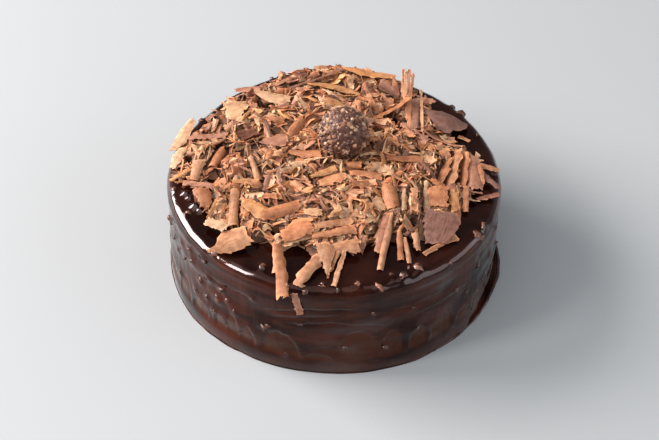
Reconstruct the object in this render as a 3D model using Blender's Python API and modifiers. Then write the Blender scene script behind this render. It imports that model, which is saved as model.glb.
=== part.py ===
"""A round glazed cake with nut bits under its glaze, a heap of chocolate shavings and one nut praline on top.

Metres, +Z up. The origin is the centre of the cake's flat base, and -Y is the front.
"""

import math
import random

import bmesh
import bpy
from mathutils import Euler, Matrix, Vector, noise

MM = 0.001
GAP = 0.35 * MM  # left between two pieces that rest on each other

# The cake: a straight-sided drum of sponge under one coat of poured glaze.
CAKE_RADIUS = 100 * MM
CAKE_HEIGHT = 68 * MM
EDGE_ROUNDING = 6.5 * MM
EDGE_RINGS = 4
CAKE_STEPS = 60
SIDE_RINGS = 4
SIDE_WAVE = 0.7 * MM  # how far the side swells and dips
FOOT_HEIGHT = 9 * MM  # the glaze starts to spread at this height
FOOT_LIP = 0.9 * MM
FOOT_SPREAD_LEAST = 0.8 * MM
FOOT_SPREAD_MOST = 5 * MM
FOOT_WIDEST_AT = math.radians(-35)  # to the right of the front

# Where the cake is out of round: the angle in degrees, how far it stands out there in millimetres, and
# half of the width of that stretch in degrees.
OUT_OF_ROUND = ((88, 6.0, 20), (146, -2.5, 15))

# Nut bits, coated by the glaze. Most are spread over the side. Those along the top edge are placed by
# hand, each by its angle in degrees and its distance from the axis in millimetres.
SIDE_NUTS = 50
SIDE_NUTS_FROM = 12 * MM
RIM_NUTS = (
    (-134, 97), (-116, 94), (-94, 97), (-82, 97), (-74, 98), (-68, 95), (-64, 97), (-58, 94), (-30, 97),
    (-24, 98), (2, 96), (38, 97), (43, 98), (70, 95), (95, 96), (103, 97), (113, 97), (150, 97), (204, 93),
)
NUT_SIZE = (1.8 * MM, 2.6 * MM)  # half of a bit's width
NUT_SUNK = 0.45  # share of that half width that the bit's middle lies under the glaze

# The heap of shavings. Its core is a low mound, which reaches furthest at the back and least at the
# front right. Its reach is given by an angle in degrees and a distance from the axis in millimetres.
HEAP_REACH = (
    (-180, 95), (-174, 94), (-166, 84), (-151, 82), (-141, 79), (-130, 78), (-119, 77), (-105, 76), (-92, 73),
    (-80, 73), (-66, 69), (-55, 70), (-47, 73), (-29, 78), (-15, 82), (0, 90), (8, 89), (20, 83), (32, 84),
    (47, 84), (59, 90), (72, 95), (88, 98), (104, 95), (118, 92), (130, 93), (145, 90), (157, 91), (168, 94),
    (180, 95),
)
HEAP_HEIGHT = 8 * MM
HEAP_BUMP = 3 * MM
HEAP_STEPS = 40
HEAP_EDGE = 0.8 * MM
HEAP_HOLD = 0.8 * MM  # how deep a shaving is sunk in the core, at least
SHAVING_THICKNESS = 0.8 * MM
SHAVING_SAG = 0.04  # a shaving's ends hang by this share of its length
SHORT = 12 * MM  # a shaving under this length has fewer bends, and one over the next has more
LONG = 24 * MM
LOOSE_SHAVINGS = 70
LOOSE_LENGTH = (10 * MM, 23 * MM)
LOOSE_WIDTH = (3.5 * MM, 10 * MM)
LOOSE_LIFT = (0.2 * MM, 1.6 * MM)  # height of a middle over the heap's core
LOOSE_TILT = math.radians(24)
LOOSE_PLAY = 3 * MM

# The praline: a ball of chopped nuts and chocolate, a little sunk in the heap.
PRALINE_RADIUS = 15 * MM
PRALINE_CHIPS = 30
CHIP_SIZE = (1.6 * MM, 2.6 * MM)
CHIP_SUNK = 0.6
PRALINE_CENTRE = Vector((5 * MM, 13 * MM, CAKE_HEIGHT + 21.5 * MM))

# The large shavings that give the heap its look, each placed by hand. Millimetres and degrees: one
# end and the other, each as (x, y, height over the cake's top), then the width, the lean about the
# length, and the arc that the width is rolled over. A negative arc is a trough.
LARGE_SHAVINGS = {
    "trough over the edge": ((-34, -62, 7.5), (-27, -101, -3), 8, 0, 100),
    "strip front": ((-5, -66, 6.5), (-20, -95, 1.8), 6.5, 0, 60),
    "flake front left": ((-71, -73, 3.5), (-44, -59, 7.5), 17, 6, 50),
    "roll left": ((-58, -27, 9), (-58, -53, 5), 8, 0, 160),
    "roll middle": ((-41, -46, 8), (-20, -38, 9.5), 11.5, 0, 120),
    "leaf left": ((-53.5, -38, 9), (-37, -46.5, 9), 9, 0, 40),
    "square left": ((-79, -24.5, 8), (-73.5, -38, 4.5), 8.5, 0, 40),
    "stick left": ((-89, -17, 5), (-71, -22, 7), 4, 0, 0),
    "plate edge left": ((-81, 0, 8), (-83, -13, 4), 6, 0, 0),
    "block front": ((-1.5, -70.5, 5), (15.5, -68.5, 6), 9.5, 25, 90),
    "bar front low": ((-12, -63, 8), (13, -56, 8), 5, 0, 0),
    "bar front high": ((-11, -56, 9), (11, -50, 9), 4.5, 0, 0),
    "wedge front": ((-28, -68, 4.5), (-9, -55.5, 8), 6.5, 20, 40),
    "shard front": ((-5, -63, 8.5), (-2.3, -90, 1.2), 7, 0, 0),
    "splinter front": ((9, -64, 7), (1, -96, 1.3), 3, 0, 0),
    "quill long": ((33, -43, 9), (27, -82, 1), 5, 0, 140),
    "flake by quill": ((31, -42.5, 9), (26.5, -70, 3), 7, 0, 0),
    "quill middle": ((37.5, -49, 8), (39, -74, 1), 4, 0, 0),
    "quill thin": ((39.5, -52, 7.5), (44, -76, 0.8), 2.5, 0, 0),
    "plate right": ((60, -36.5, 8.3), (55.8, -62.5, 1.8), 16.5, 8, 0),
    "strip right": ((52, -69, 1.5), (71, -54, 2.5), 3.5, 30, 0),
    "arch right": ((31, -20.5, 11.5), (35, -37, 8), 10.5, 0, 110),
    "ribbed right": ((61, -21, 10), (60, -34, 6), 11.5, 0, 0),
    "stick light": ((54, -16, 10.5), (54, -38, 6), 3, 0, 0),
    "chip yellow": ((70, -22, 8), (71, -35, 4), 5.5, 0, 0),
    "stick right": ((78, -16, 7), (77, -33, 2), 3, 0, 0),
    "plate far right": ((82, 8, 9), (85, -15, 3), 8.5, 0, 0),
    "sheet far right": ((73, 13, 10.5), (69, -16, 5), 6, 30, 0),
    "sheet far right low": ((78, 12, 10), (75, -13, 4), 5, 30, 0),
    "tatter right high": ((86, 5, 6), (98, 1, 5), 4, 0, 0),
    "tatter right low": ((87, -2, 5), (98, -12, 2.5), 4, 0, 0),
    "strip far right": ((84, -21, 1.2), (97, -18, 3), 3, 0, 0),
    "arc right": ((51, 31, 10), (77, 17, 7), 3.5, -40, 0),
    "plate back right": ((55, 49, 8.5), (79, 38.5, 4.5), 17, -10, 40),
    "stick back": ((43, 62, 11), (46, 35, 6), 4.5, 0, 90),
    "plate back dark": ((49, 60, 10), (49, 35, 7), 4.5, 0, 0),
    "bar cross": ((23, 42, 8), (44, 57, 12), 5, -30, 0),
    "spike back left": ((35, 77, 14), (38, 66, 7), 3, 0, 0),
    "spike back middle": ((41, 81, 16), (42, 66, 7), 2.5, 0, 0),
    "spike back right": ((45, 81, 16), (42, 64, 7), 3, 0, 0),
    "roll back": ((26, 73, 11), (38, 64, 8), 9.5, 0, -140),
    "ridge back": ((4, 86, 11), (36.5, 81, 10.5), 8.5, -25, 0),
    "spear back": ((-31, 70, 7), (4, 86, 11), 3.5, -30, 0),
    "leaf back": ((-17.5, 72.5, 9.5), (14, 63.5, 10), 9, -10, 40),
    "sheet back left": ((-50, 63, 9), (-28, 56.5, 10), 12, -15, 60),
    "flake back left": ((-63, 69, 6), (-48, 70, 7), 4.5, 0, 0),
    "plate back left": ((-67.5, 47, 7.5), (-54, 50.3, 9), 15, 0, 30),
    "strip left": ((-89, 22, 6), (-65, 23, 9), 4.5, 0, 90),
    "plate left": ((-96, 13, 4), (-87, 39, 6), 8, -10, 0),
    "curl left": ((-73, -4, 7), (-67, 10, 8), 8, 0, 180),
    "curl middle": ((-57, 20, 9), (-47, 26, 9), 9.5, 0, -150),
    "flat middle": ((-45.5, 15.2, 9.5), (-28.5, 18, 11), 9, 0, 0),
    "steep middle": ((-27, 23, 8), (-20, 36, 12), 6.5, 30, 0),
    "flake middle": ((-27, 6, 10), (-8, 7, 10), 7, 0, 60),
    "tube middle": ((-50, 2, 10), (-44, -18, 9), 5.5, 0, 150),
    "strip middle": ((-14, -15, 10), (1, -8, 11.5), 4, 0, 0),
    "plate middle": ((-9, -20, 10), (7, -14, 11), 7, 0, 0),
    "bar right middle": ((31, 3, 11), (52, 3, 11), 4.5, 0, 0),
    "flat right middle": ((9, -10, 10), (28, -12, 10), 5.5, 0, 0),
}

# One small strip that slid down and stuck to the glaze, at the front under the edge.
STUCK_STRIP_AT = math.radians(-101)
STUCK_STRIP_HEIGHT = 56 * MM  # of its middle, over the base
STUCK_STRIP_LENGTH = 16 * MM
STUCK_STRIP_WIDTH = 4.2 * MM
STUCK_STRIP_SLANT = math.radians(14)
STUCK_STRIP_PROUD = 0.5 * MM

GOLDEN_ANGLE = math.pi * (3 - math.sqrt(5))  # turn from one scattered piece to the next
HEIGHT_STEP = 0.7549  # steps that spread their other measure as evenly
RADIUS_STEP = 0.5698
LAYOUT_SEED = 7

GLAZE_COLOUR = (0.030, 0.014, 0.010, 1)
SHAVING_COLOUR = (0.42, 0.20, 0.11, 1)
PRALINE_COLOUR = (0.20, 0.10, 0.065, 1)


def clear_scene():
    for item in list(bpy.data.objects):
        bpy.data.objects.remove(item)


def new_collection(name):
    collection = bpy.data.collections.new(name)
    bpy.context.scene.collection.children.link(collection)
    return collection


def remove_collection(collection):
    for item in list(collection.objects):
        bpy.data.objects.remove(item)
    bpy.data.collections.remove(collection)


def finish(name, colour, roughness):
    material = bpy.data.materials.new(name)
    material.use_nodes = True
    shader = material.node_tree.nodes["Principled BSDF"]
    shader.inputs["Base Color"].default_value = colour
    shader.inputs["Roughness"].default_value = roughness
    shader.inputs["Metallic"].default_value = 0
    return material


def object_from(bm, name, collection):
    """An object that holds the mesh in bm, which is freed."""
    mesh = bpy.data.meshes.new(name)
    bm.to_mesh(mesh)
    bm.free()
    item = bpy.data.objects.new(name, mesh)
    collection.objects.link(item)
    return item


def apply_modifiers(item):
    """The modifiers' result becomes the object's own mesh."""
    graph = bpy.context.evaluated_depsgraph_get()
    mesh = bpy.data.meshes.new_from_object(item.evaluated_get(graph))
    item.modifiers.clear()
    item.data = mesh


def turned(name, profile, steps, collection):
    """A body turned about Z from a profile of (radius, height) that runs from its top to its base."""
    bm = bmesh.new()
    corners = [bm.verts.new((radius, 0, height)) for radius, height in profile]
    for upper, lower in zip(corners, corners[1:]):
        bm.edges.new((upper, lower))
    item = object_from(bm, name, collection)
    screw = item.modifiers.new("Turn", "SCREW")
    screw.steps = screw.render_steps = steps
    screw.use_merge_vertices = True
    screw.merge_threshold = 0.00005
    apply_modifiers(item)
    return item


def largest_body_only(item):
    """Drops loose scraps, and fills any hollow that joining sealed, by keeping only the largest shell."""
    bm = bmesh.new()
    bm.from_mesh(item.data)
    unseen = set(bm.faces)
    shells = []
    while unseen:
        edge_of_shell = [unseen.pop()]
        shell = list(edge_of_shell)
        while edge_of_shell:
            face = edge_of_shell.pop()
            near = {other for edge in face.edges for other in edge.link_faces} & unseen
            unseen -= near
            edge_of_shell.extend(near)
            shell.extend(near)
        shells.append(shell)
    shells.sort(key=len, reverse=True)
    spare = [face for shell in shells[1:] for face in shell]
    bmesh.ops.delete(bm, geom=spare, context="FACES")
    bm.to_mesh(item.data)
    bm.free()


def join(item, pieces):
    """One Boolean union of the item with every piece in a collection, whose objects are then removed."""
    union = item.modifiers.new("Join", "BOOLEAN")
    union.operation = "UNION"
    union.operand_type = "COLLECTION"
    union.collection = pieces
    union.solver = "EXACT"
    apply_modifiers(item)
    remove_collection(pieces)
    largest_body_only(item)


def at_angle(angle, radius, height):
    return Vector((radius * math.cos(angle), radius * math.sin(angle), height))


def between(ends, share):
    return ends[0] + (ends[1] - ends[0]) * share


def lump(size, place, turn, stretch, name, collection):
    """A nut bit: a rough ball of few faces, stretched and turned. Size is half of its width."""
    bm = bmesh.new()
    bmesh.ops.create_icosphere(bm, subdivisions=1, radius=size)
    for corner in bm.verts:
        corner.co *= 1 + 0.18 * noise.noise(corner.co / size * 1.7 + place / size)
    bm.transform(Matrix.LocRotScale(place, turn, stretch))
    return object_from(bm, name, collection)


# The cake --------------------------------------------------------------------------------------


def out_of_round(angle):
    """How far the side stands out of a true circle here."""
    total = 0
    for degrees, far, half in OUT_OF_ROUND:
        off = (math.degrees(angle) - degrees + 180) % 360 - 180
        total += far * MM * math.exp(-((off / half) ** 2))
    return total


def cake_top(x, y):
    """Height of the glaze over the base here. Beyond the side there is none."""
    over = math.hypot(x, y) - out_of_round(math.atan2(y, x)) - (CAKE_RADIUS - EDGE_ROUNDING)
    if over <= 0:
        return CAKE_HEIGHT
    if over >= EDGE_ROUNDING:
        return 0
    return CAKE_HEIGHT - EDGE_ROUNDING + math.sqrt(EDGE_ROUNDING**2 - over**2)


def foot_spread(angle):
    """How far the glaze has run out over the base, which is most at the front right."""
    most = 0.5 + 0.5 * math.cos(angle - FOOT_WIDEST_AT)
    ripple = noise.noise(at_angle(angle, 3.5, 0.4))
    share = max(most**3 + 0.18 * ripple, 0)
    return between((FOOT_SPREAD_LEAST, FOOT_SPREAD_MOST), share)


def side_radius(angle, height):
    """Radius of the glazed side, with its level swells and its foot."""
    swell = noise.noise(at_angle(angle, 1.6, height / (9 * MM)))
    swell += 0.6 * noise.noise(at_angle(angle, 5, height / (20 * MM)))
    down = max(0, 1 - height / FOOT_HEIGHT)
    radius = CAKE_RADIUS + out_of_round(angle) - SIDE_WAVE * (1 - swell)
    return radius + foot_spread(angle) * down**2.5


def cake_profile():
    """Half outline of the cake, from the middle of its top to the middle of its base."""
    shoulder = CAKE_HEIGHT - EDGE_ROUNDING
    outline = [(0, CAKE_HEIGHT)]
    for step in range(EDGE_RINGS + 1):
        turn = math.radians(90 * (1 - step / EDGE_RINGS))
        outline.append(
            (
                CAKE_RADIUS - EDGE_ROUNDING * (1 - math.cos(turn)),
                shoulder + EDGE_ROUNDING * math.sin(turn),
            )
        )
    for ring in range(1, SIDE_RINGS + 1):
        outline.append((CAKE_RADIUS, between((shoulder, FOOT_HEIGHT), ring / SIDE_RINGS)))
    outline += [(CAKE_RADIUS, FOOT_HEIGHT * 0.6), (CAKE_RADIUS, FOOT_HEIGHT * 0.3)]
    outline += [(CAKE_RADIUS, FOOT_LIP), (CAKE_RADIUS, 0), (0, 0)]
    return outline


def shape_side(item):
    """Moves the points of the side out to its swells and foot, and the rounded edge out of round."""
    side_top = CAKE_HEIGHT - EDGE_ROUNDING - 1 * MM
    for corner in item.data.vertices:
        angle = math.atan2(corner.co.y, corner.co.x)
        radius = math.hypot(corner.co.x, corner.co.y)
        if radius > CAKE_RADIUS - 1 * MM and corner.co.z < side_top:
            radius = side_radius(angle, max(corner.co.z, FOOT_LIP))
        elif radius > 1 * MM:
            radius += out_of_round(angle)
        corner.co = at_angle(angle, radius, corner.co.z)


def side_nuts(rng, collection):
    """Nut bits spread evenly over the side by the golden angle, with a little play."""
    heights = (SIDE_NUTS_FROM, CAKE_HEIGHT - EDGE_ROUNDING - 2 * MM)
    for count in range(SIDE_NUTS):
        angle = count * GOLDEN_ANGLE + rng.uniform(-0.06, 0.06)
        height = between(heights, (count * HEIGHT_STEP + 0.5) % 1)
        size = rng.uniform(*NUT_SIZE)
        place = at_angle(angle, side_radius(angle, height) - NUT_SUNK * size, height)
        turn = Euler((rng.uniform(-0.5, 0.5), 0, angle))
        stretch = Vector((1, rng.uniform(0.8, 1.3), rng.uniform(0.7, 1.1)))
        off_strip = (angle - STUCK_STRIP_AT + math.pi) % math.tau - math.pi
        if abs(off_strip) * CAKE_RADIUS > STUCK_STRIP_LENGTH / 2:
            lump(size, place, turn, stretch, "side nut", collection)


def rim_nuts(rng, collection, shavings):
    """Nut bits along the top edge, left out where a shaving lies close over the place."""
    for degrees, millimetres in RIM_NUTS:
        angle = math.radians(degrees)
        size = rng.uniform(*NUT_SIZE)
        place = at_angle(angle, millimetres * MM + out_of_round(angle), 0)
        place.z = cake_top(place.x, place.y) - NUT_SUNK * size
        turn = Euler((0, 0, rng.uniform(0, math.pi)))
        stretch = Vector((rng.uniform(0.8, 1.3), 1, rng.uniform(0.7, 0.9)))
        if all((place - point).length > size + 2.5 * MM for point in shavings):
            lump(size, place, turn, stretch, "rim nut", collection)


def stuck_strip(collection):
    """The strip of chocolate that slid down onto the side, sunk a little into the glaze."""
    bm = shaving_sheet(STUCK_STRIP_LENGTH, STUCK_STRIP_WIDTH, 0)
    out = side_radius(STUCK_STRIP_AT, STUCK_STRIP_HEIGHT) + STUCK_STRIP_PROUD
    bm.transform(
        Matrix.Translation(at_angle(STUCK_STRIP_AT, out, STUCK_STRIP_HEIGHT))
        @ Matrix.Rotation(STUCK_STRIP_AT, 4, "Z")
        @ Matrix.Rotation(STUCK_STRIP_SLANT, 4, "X")
        @ Matrix.Rotation(math.radians(90), 4, "Y")
    )
    object_from(bm, "stuck strip", collection)


def make_cake(parts, shavings):
    rng = random.Random(LAYOUT_SEED)
    cake = turned("cake", cake_profile(), CAKE_STEPS, parts)
    shape_side(cake)
    pieces = new_collection("Cake pieces")
    side_nuts(rng, pieces)
    rim_nuts(rng, pieces, shavings)
    stuck_strip(pieces)
    join(cake, pieces)
    cake.data.materials.append(finish("Dark glaze", GLAZE_COLOUR, 0.08))


# The praline -----------------------------------------------------------------------------------


def make_praline(parts):
    """A lumpy ball with nut chips all over it, spread evenly. Returns how far its chips reach."""
    rng = random.Random(LAYOUT_SEED + 2)
    bm = bmesh.new()
    bmesh.ops.create_icosphere(bm, subdivisions=3, radius=PRALINE_RADIUS)
    for corner in bm.verts:
        corner.co *= 1 + 0.03 * noise.noise(corner.co / (6 * MM))
    praline = object_from(bm, "praline", parts)
    chips = new_collection("Praline pieces")
    for count in range(PRALINE_CHIPS):
        height = 1 - 2 * (count + 0.5) / PRALINE_CHIPS
        out = at_angle(count * GOLDEN_ANGLE, math.sqrt(1 - height**2), height)
        size = rng.uniform(*CHIP_SIZE)
        turn = Euler([rng.uniform(0, math.pi) for _ in range(3)])
        stretch = Vector((1, rng.uniform(0.8, 1.3), rng.uniform(0.7, 1)))
        lump(size, out * (PRALINE_RADIUS - CHIP_SUNK * size), turn, stretch, "chip", chips)
    join(praline, chips)
    praline.location = PRALINE_CENTRE
    praline.data.materials.append(finish("Nut praline", PRALINE_COLOUR, 0.5))
    return max(corner.co.length for corner in praline.data.vertices)


# The heap of shavings --------------------------------------------------------------------------


def shaving_sheet(length, width, arc):
    """A thin closed sheet. Its length lies along X, and its width is rolled over by the arc about X."""
    along = 2 if length < SHORT else 4 if length > LONG else 3
    across = 3 if abs(arc) > 2 else 2 if arc else 1
    roll = width / (arc or 0.01)
    bm = bmesh.new()
    bmesh.ops.create_grid(bm, x_segments=along, y_segments=across, size=0.5)
    bmesh.ops.triangulate(bm, faces=bm.faces)
    for corner in bm.verts:
        end = abs(2 * corner.co.x)
        turn = corner.co.y * (1 - 0.22 * end**3) * width / roll
        drop = SHAVING_SAG * length * end**2
        corner.co = Vector((corner.co.x * length, roll * math.sin(turn), roll * (math.cos(turn) - 1) - drop))
    bmesh.ops.solidify(bm, geom=bm.faces, thickness=SHAVING_THICKNESS)
    middle = sum(corner.co.z for corner in bm.verts) / len(bm.verts)
    bm.transform(Matrix.Translation((0, 0, -middle)))
    bmesh.ops.recalc_face_normals(bm, faces=bm.faces)
    bmesh.ops.triangulate(bm, faces=bm.faces)
    return bm


def heap_outline(angle):
    """Distance from the axis to the edge of the heap's core."""
    here = math.degrees(angle)
    last = next(place for place in range(1, len(HEAP_REACH)) if HEAP_REACH[place][0] >= here - 1e-6)
    (before, near), (after, far) = HEAP_REACH[last - 1], HEAP_REACH[last]
    return between((near, far), (here - before) / (after - before)) * MM


def heap_height(x, y):
    """Height of the heap's core over the cake's top."""
    share = math.hypot(x, y) / heap_outline(math.atan2(y, x))
    if share >= 1:
        return HEAP_EDGE
    bump = HEAP_BUMP * noise.noise(Vector((x, y, 0)) / (6 * MM))
    return HEAP_EDGE + (HEAP_HEIGHT + bump) * (1 - share**8)


def heap_core(collection):
    """A low mound with an uneven outline and bumps, flat underneath, that the shavings are joined to."""
    rings = (0, 0.16, 0.32, 0.48, 0.64, 0.78, 0.88, 0.95, 1)
    item = turned("shavings", [(share, 1) for share in rings] + [(1, 0), (0, 0)], HEAP_STEPS, collection)
    for corner in item.data.vertices:
        angle = math.atan2(corner.co.y, corner.co.x)
        upper = corner.co.z > 0.5
        corner.co = at_angle(angle, corner.co.xy.length * heap_outline(angle), CAKE_HEIGHT + GAP)
        if upper:
            corner.co.z += heap_height(corner.co.x, corner.co.y)
    return item


def carve_seat(item, reach):
    """Takes the praline's seat out of the heap's core."""
    bm = bmesh.new()
    bmesh.ops.create_uvsphere(bm, u_segments=24, v_segments=14, radius=reach + 1.5 * GAP)
    bm.transform(Matrix.Translation(PRALINE_CENTRE))
    cutters = new_collection("Cutters")
    cutter = object_from(bm, "praline seat", cutters)
    cutter.hide_render = True
    cutter.display_type = "WIRE"
    cut = item.modifiers.new("Seat", "BOOLEAN")
    cut.operation = "DIFFERENCE"
    cut.object = cutter
    apply_modifiers(item)
    remove_collection(cutters)


def lay(bm, middle, heading, pitch, lean):
    """Turns a sheet, sets its middle here, sinks it into the heap's core, and keeps it over the glaze."""
    bm.transform(
        Matrix.Translation(middle)
        @ Matrix.Rotation(heading, 4, "Z")
        @ Matrix.Rotation(-pitch, 4, "Y")
        @ Matrix.Rotation(lean, 4, "X")
    )
    over_core = [
        corner.co.z - CAKE_HEIGHT - heap_height(corner.co.x, corner.co.y)
        for corner in bm.verts
        if corner.co.xy.length < 0.95 * heap_outline(math.atan2(corner.co.y, corner.co.x))
    ]
    if over_core and min(over_core) > -HEAP_HOLD:
        bm.transform(Matrix.Translation((0, 0, -HEAP_HOLD - min(over_core))))
    clear = min(corner.co.z - cake_top(corner.co.x, corner.co.y) for corner in bm.verts)
    if clear < GAP:
        bm.transform(Matrix.Translation((0, 0, GAP - clear)))


def place_shaving(bm, name, reach, collection):
    """Keeps the shaving if it stays clear of the praline."""
    points = [corner.co for corner in bm.verts] + [face.calc_center_median() for face in bm.faces]
    if min((point - PRALINE_CENTRE).length for point in points) > reach + 2 * GAP:
        object_from(bm, name, collection)
    else:
        bm.free()


def large_shavings(reach, collection):
    """The shavings placed by hand."""
    for name, (tail, head, width, lean, arc) in LARGE_SHAVINGS.items():
        tail = Vector(tail) * MM
        head = Vector(head) * MM
        run = head - tail
        middle = (head + tail) / 2 + Vector((0, 0, CAKE_HEIGHT))
        bm = shaving_sheet(run.length, width * MM, math.radians(arc))
        heading = math.atan2(run.y, run.x)
        pitch = math.atan2(run.z, run.xy.length)
        lay(bm, middle, heading, pitch, math.radians(lean))
        place_shaving(bm, name, reach, collection)


def loose_shavings(rng, reach, collection):
    """Smaller shavings spread evenly all over the heap by the golden angle, the largest first."""
    for count in range(LOOSE_SHAVINGS):
        angle = count * GOLDEN_ANGLE
        angle = (angle + math.pi) % math.tau - math.pi
        radius = 0.97 * math.sqrt((count * RADIUS_STEP + 0.5) % 1) * heap_outline(angle)
        x = radius * math.cos(angle) + rng.uniform(-LOOSE_PLAY, LOOSE_PLAY)
        y = radius * math.sin(angle) + rng.uniform(-LOOSE_PLAY, LOOSE_PLAY)
        size = 1 - count / LOOSE_SHAVINGS
        length = between(LOOSE_LENGTH, size * rng.uniform(0.7, 1))
        width = between(LOOSE_WIDTH, size * rng.uniform(0.5, 1))
        bm = shaving_sheet(length, width, 0)
        middle = Vector((x, y, CAKE_HEIGHT + heap_height(x, y) + rng.uniform(*LOOSE_LIFT)))
        heading = rng.uniform(0, math.tau)
        lay(bm, middle, heading, rng.uniform(-LOOSE_TILT, LOOSE_TILT), rng.uniform(-LOOSE_TILT, LOOSE_TILT))
        place_shaving(bm, f"loose shaving {count}", reach, collection)


def make_shavings(parts, reach):
    """The heap around a praline of this reach. Returns where its shavings lie."""
    rng = random.Random(LAYOUT_SEED + 1)
    heap = heap_core(parts)
    carve_seat(heap, reach)
    pieces = new_collection("Shaving pieces")
    large_shavings(reach, pieces)
    loose_shavings(rng, reach, pieces)
    points = [corner.co.copy() for piece in pieces.objects for corner in piece.data.vertices]
    join(heap, pieces)
    heap.data.shade_flat()
    heap.data.materials.append(finish("Milk chocolate", SHAVING_COLOUR, 0.55))
    return points


def main():
    clear_scene()
    parts = new_collection("Hazelnut cake")
    reach = make_praline(parts)
    shavings = make_shavings(parts, reach)
    make_cake(parts, shavings)


main()
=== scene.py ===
"""The looks of the hazelnut cake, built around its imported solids. Metres, +Z up, and -Y is the front."""

import math
import random

import bmesh
import bpy
import numpy as np
from mathutils import Matrix, Vector, noise


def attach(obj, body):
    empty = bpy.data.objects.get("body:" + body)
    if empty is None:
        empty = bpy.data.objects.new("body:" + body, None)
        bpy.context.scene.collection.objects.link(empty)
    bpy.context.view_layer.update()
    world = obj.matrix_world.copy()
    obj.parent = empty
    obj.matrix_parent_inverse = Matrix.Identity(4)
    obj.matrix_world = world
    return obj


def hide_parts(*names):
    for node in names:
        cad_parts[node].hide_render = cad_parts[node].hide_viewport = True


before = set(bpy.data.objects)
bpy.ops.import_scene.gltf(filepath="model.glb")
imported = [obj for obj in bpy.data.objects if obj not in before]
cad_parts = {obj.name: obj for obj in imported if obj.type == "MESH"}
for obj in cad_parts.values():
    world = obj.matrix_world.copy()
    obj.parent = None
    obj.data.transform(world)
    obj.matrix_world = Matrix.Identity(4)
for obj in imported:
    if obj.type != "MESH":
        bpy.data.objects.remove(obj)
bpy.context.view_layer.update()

# The glazed cake ---------------------------------------------------------------------------------
# A straight-sided sponge under one coat of poured dark chocolate glaze. The glaze rounds the top edge,
# follows the layers of sponge in soft level ripples, and spreads out in a thin foot at the base.

MM = 0.001
CAKE_RADIUS = 100 * MM
CAKE_HEIGHT = 68 * MM
EDGE_ROUNDING = 6.5 * MM
EDGE_RINGS = 16
CAKE_STEPS = 660
SIDE_RINGS = 66
TOP_RINGS = 40
FOOT_RINGS = 18
SIDE_WAVE = 0.7 * MM  # how far the side falls back between its level swells
FOOT_HEIGHT = 9 * MM
FOOT_SPREAD = (0.3 * MM, 4.5 * MM)
FOOT_WIDEST_AT = math.radians(-4)
LIP_HEIGHT = (0.5 * MM, 2.6 * MM)  # of the foot's round lip, where the foot is narrow and where it is wide
NARROW_FOOT = 1.6 * MM  # up to this width the lip is lowest, ...
WIDE_FOOT = 4 * MM  # ... and from this one on it is highest
LIP_FROM = math.radians(200)  # the lip is an arc from here, where the foot's slope meets it, ...
LIP_TO = math.radians(-90)  # ... to the base
RIPPLE = 0.55 * MM  # depth of the level ripples on the side
EDGE_WAVE = 0.35 * MM  # how far the rounded edge wanders
TOP_WAVE = 0.12 * MM  # how uneven the top is near the edge, ...
NEAR_EDGE = 14 * MM  # ... within this distance of its rounding

# Level folds where the glaze sagged over the layers of sponge: places along each as an angle in degrees
# and a height in millimetres, then its depth and half of its width in millimetres.
FOLDS = (
    (((-114, 43), (-97, 51.6), (-80, 52.8)), 0.8, 1.5), (((-114, 37.5), (-97, 45.2), (-86, 48.4)), 0.8, 1.4),
    (((-107, 36.5), (-90, 41.4), (-70, 36.2)), 0.9, 1.5), (((-72, 48), (-60, 45), (-46, 47)), 0.6, 1.4),
    (((-64, 36), (-47, 39), (-34, 36)), 0.5, 1.4), (((-142, 51), (-130, 48), (-116, 50)), 0.5, 1.6),
    (((-34, 52), (-20, 48), (-4, 50)), 0.6, 1.5), (((2, 44), (16, 40), (33, 42)), 0.7, 1.6),
    (((20, 33), (33, 31), (47, 34)), 0.6, 1.5), (((52, 49), (66, 45), (84, 47)), 0.7, 1.6),
    (((80, 36), (96, 39), (113, 35)), 0.6, 1.5), (((119, 48), (134, 44), (152, 47)), 0.7, 1.6),
    (((147, 36), (161, 33), (176, 37)), 0.6, 1.5), (((-178, 50), (-168, 47), (-152, 49)), 0.5, 1.6),
)

# Where the cake is out of round: angle in degrees, how far it stands out in millimetres, and half of the
# width of that stretch in degrees.
OUT_OF_ROUND = ((88, 6.0, 20), (146, -2.5, 15))

# The last coat ends in round arches over the thinner first one, whose lighter, redder colour is a painted
# warm reflection: angle of the middle and half of the width in degrees, and the height of the arch and of its
# feet in millimetres.
ARCHES = (
    (-131, 2.6, 23, 13), (-125.5, 2.8, 28, 13), (-119.3, 3.2, 24, 9), (-107, 7, 29, 8), (-94, 5, 16, 8),
    (-80.8, 7, 34, 14), (-69, 4.3, 31, 13), (-58.8, 3.6, 27, 14), (-49.2, 4.8, 27, 15), (-38, 4.5, 20, 9),
    (-27, 5, 24, 10), (-14, 6, 19, 9), (-141, 4.5, 21, 10), (-151, 4, 26, 12), (-161, 5, 20, 9),
    (-173, 6, 24, 10), (0, 6, 25, 10), (14, 6, 19, 9), (28, 6, 27, 11), (42, 6, 20, 9), (56, 6, 25, 10),
    (70, 7, 19, 9), (86, 7, 26, 11), (101, 6, 20, 9), (115, 6, 27, 11), (129, 6, 21, 9), (143, 6, 25, 10),
    (157, 6, 19, 9), (170, 5, 23, 9),
)
ARCH_DEPTH = 0.7 * MM
ARCH_EDGE = 3.2  # width of the soft edge of an arch in millimetres

# Lumps that the glaze wholly covers, near the left edge of the top: angle in degrees, then radius and half
# of the width in millimetres.
LUMPS = ((-166, 89.6, 2.5), (-163.4, 88.2, 2.1), (-158, 86.9, 3.0), (-155.2, 85.4, 2.4), (-159.5, 84, 2.0))
MOUND_WIDTH = 1.2  # of the glaze over a nut bit or a lump, against half of its width
NUT_MOUND_RISE = 0.4
LUMP_MOUND_RISE = 1.08


def at_angle(angle, radius, height):
    return Vector((radius * math.cos(angle), radius * math.sin(angle), height))


def between(ends, share):
    return ends[0] + (ends[1] - ends[0]) * share


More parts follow.
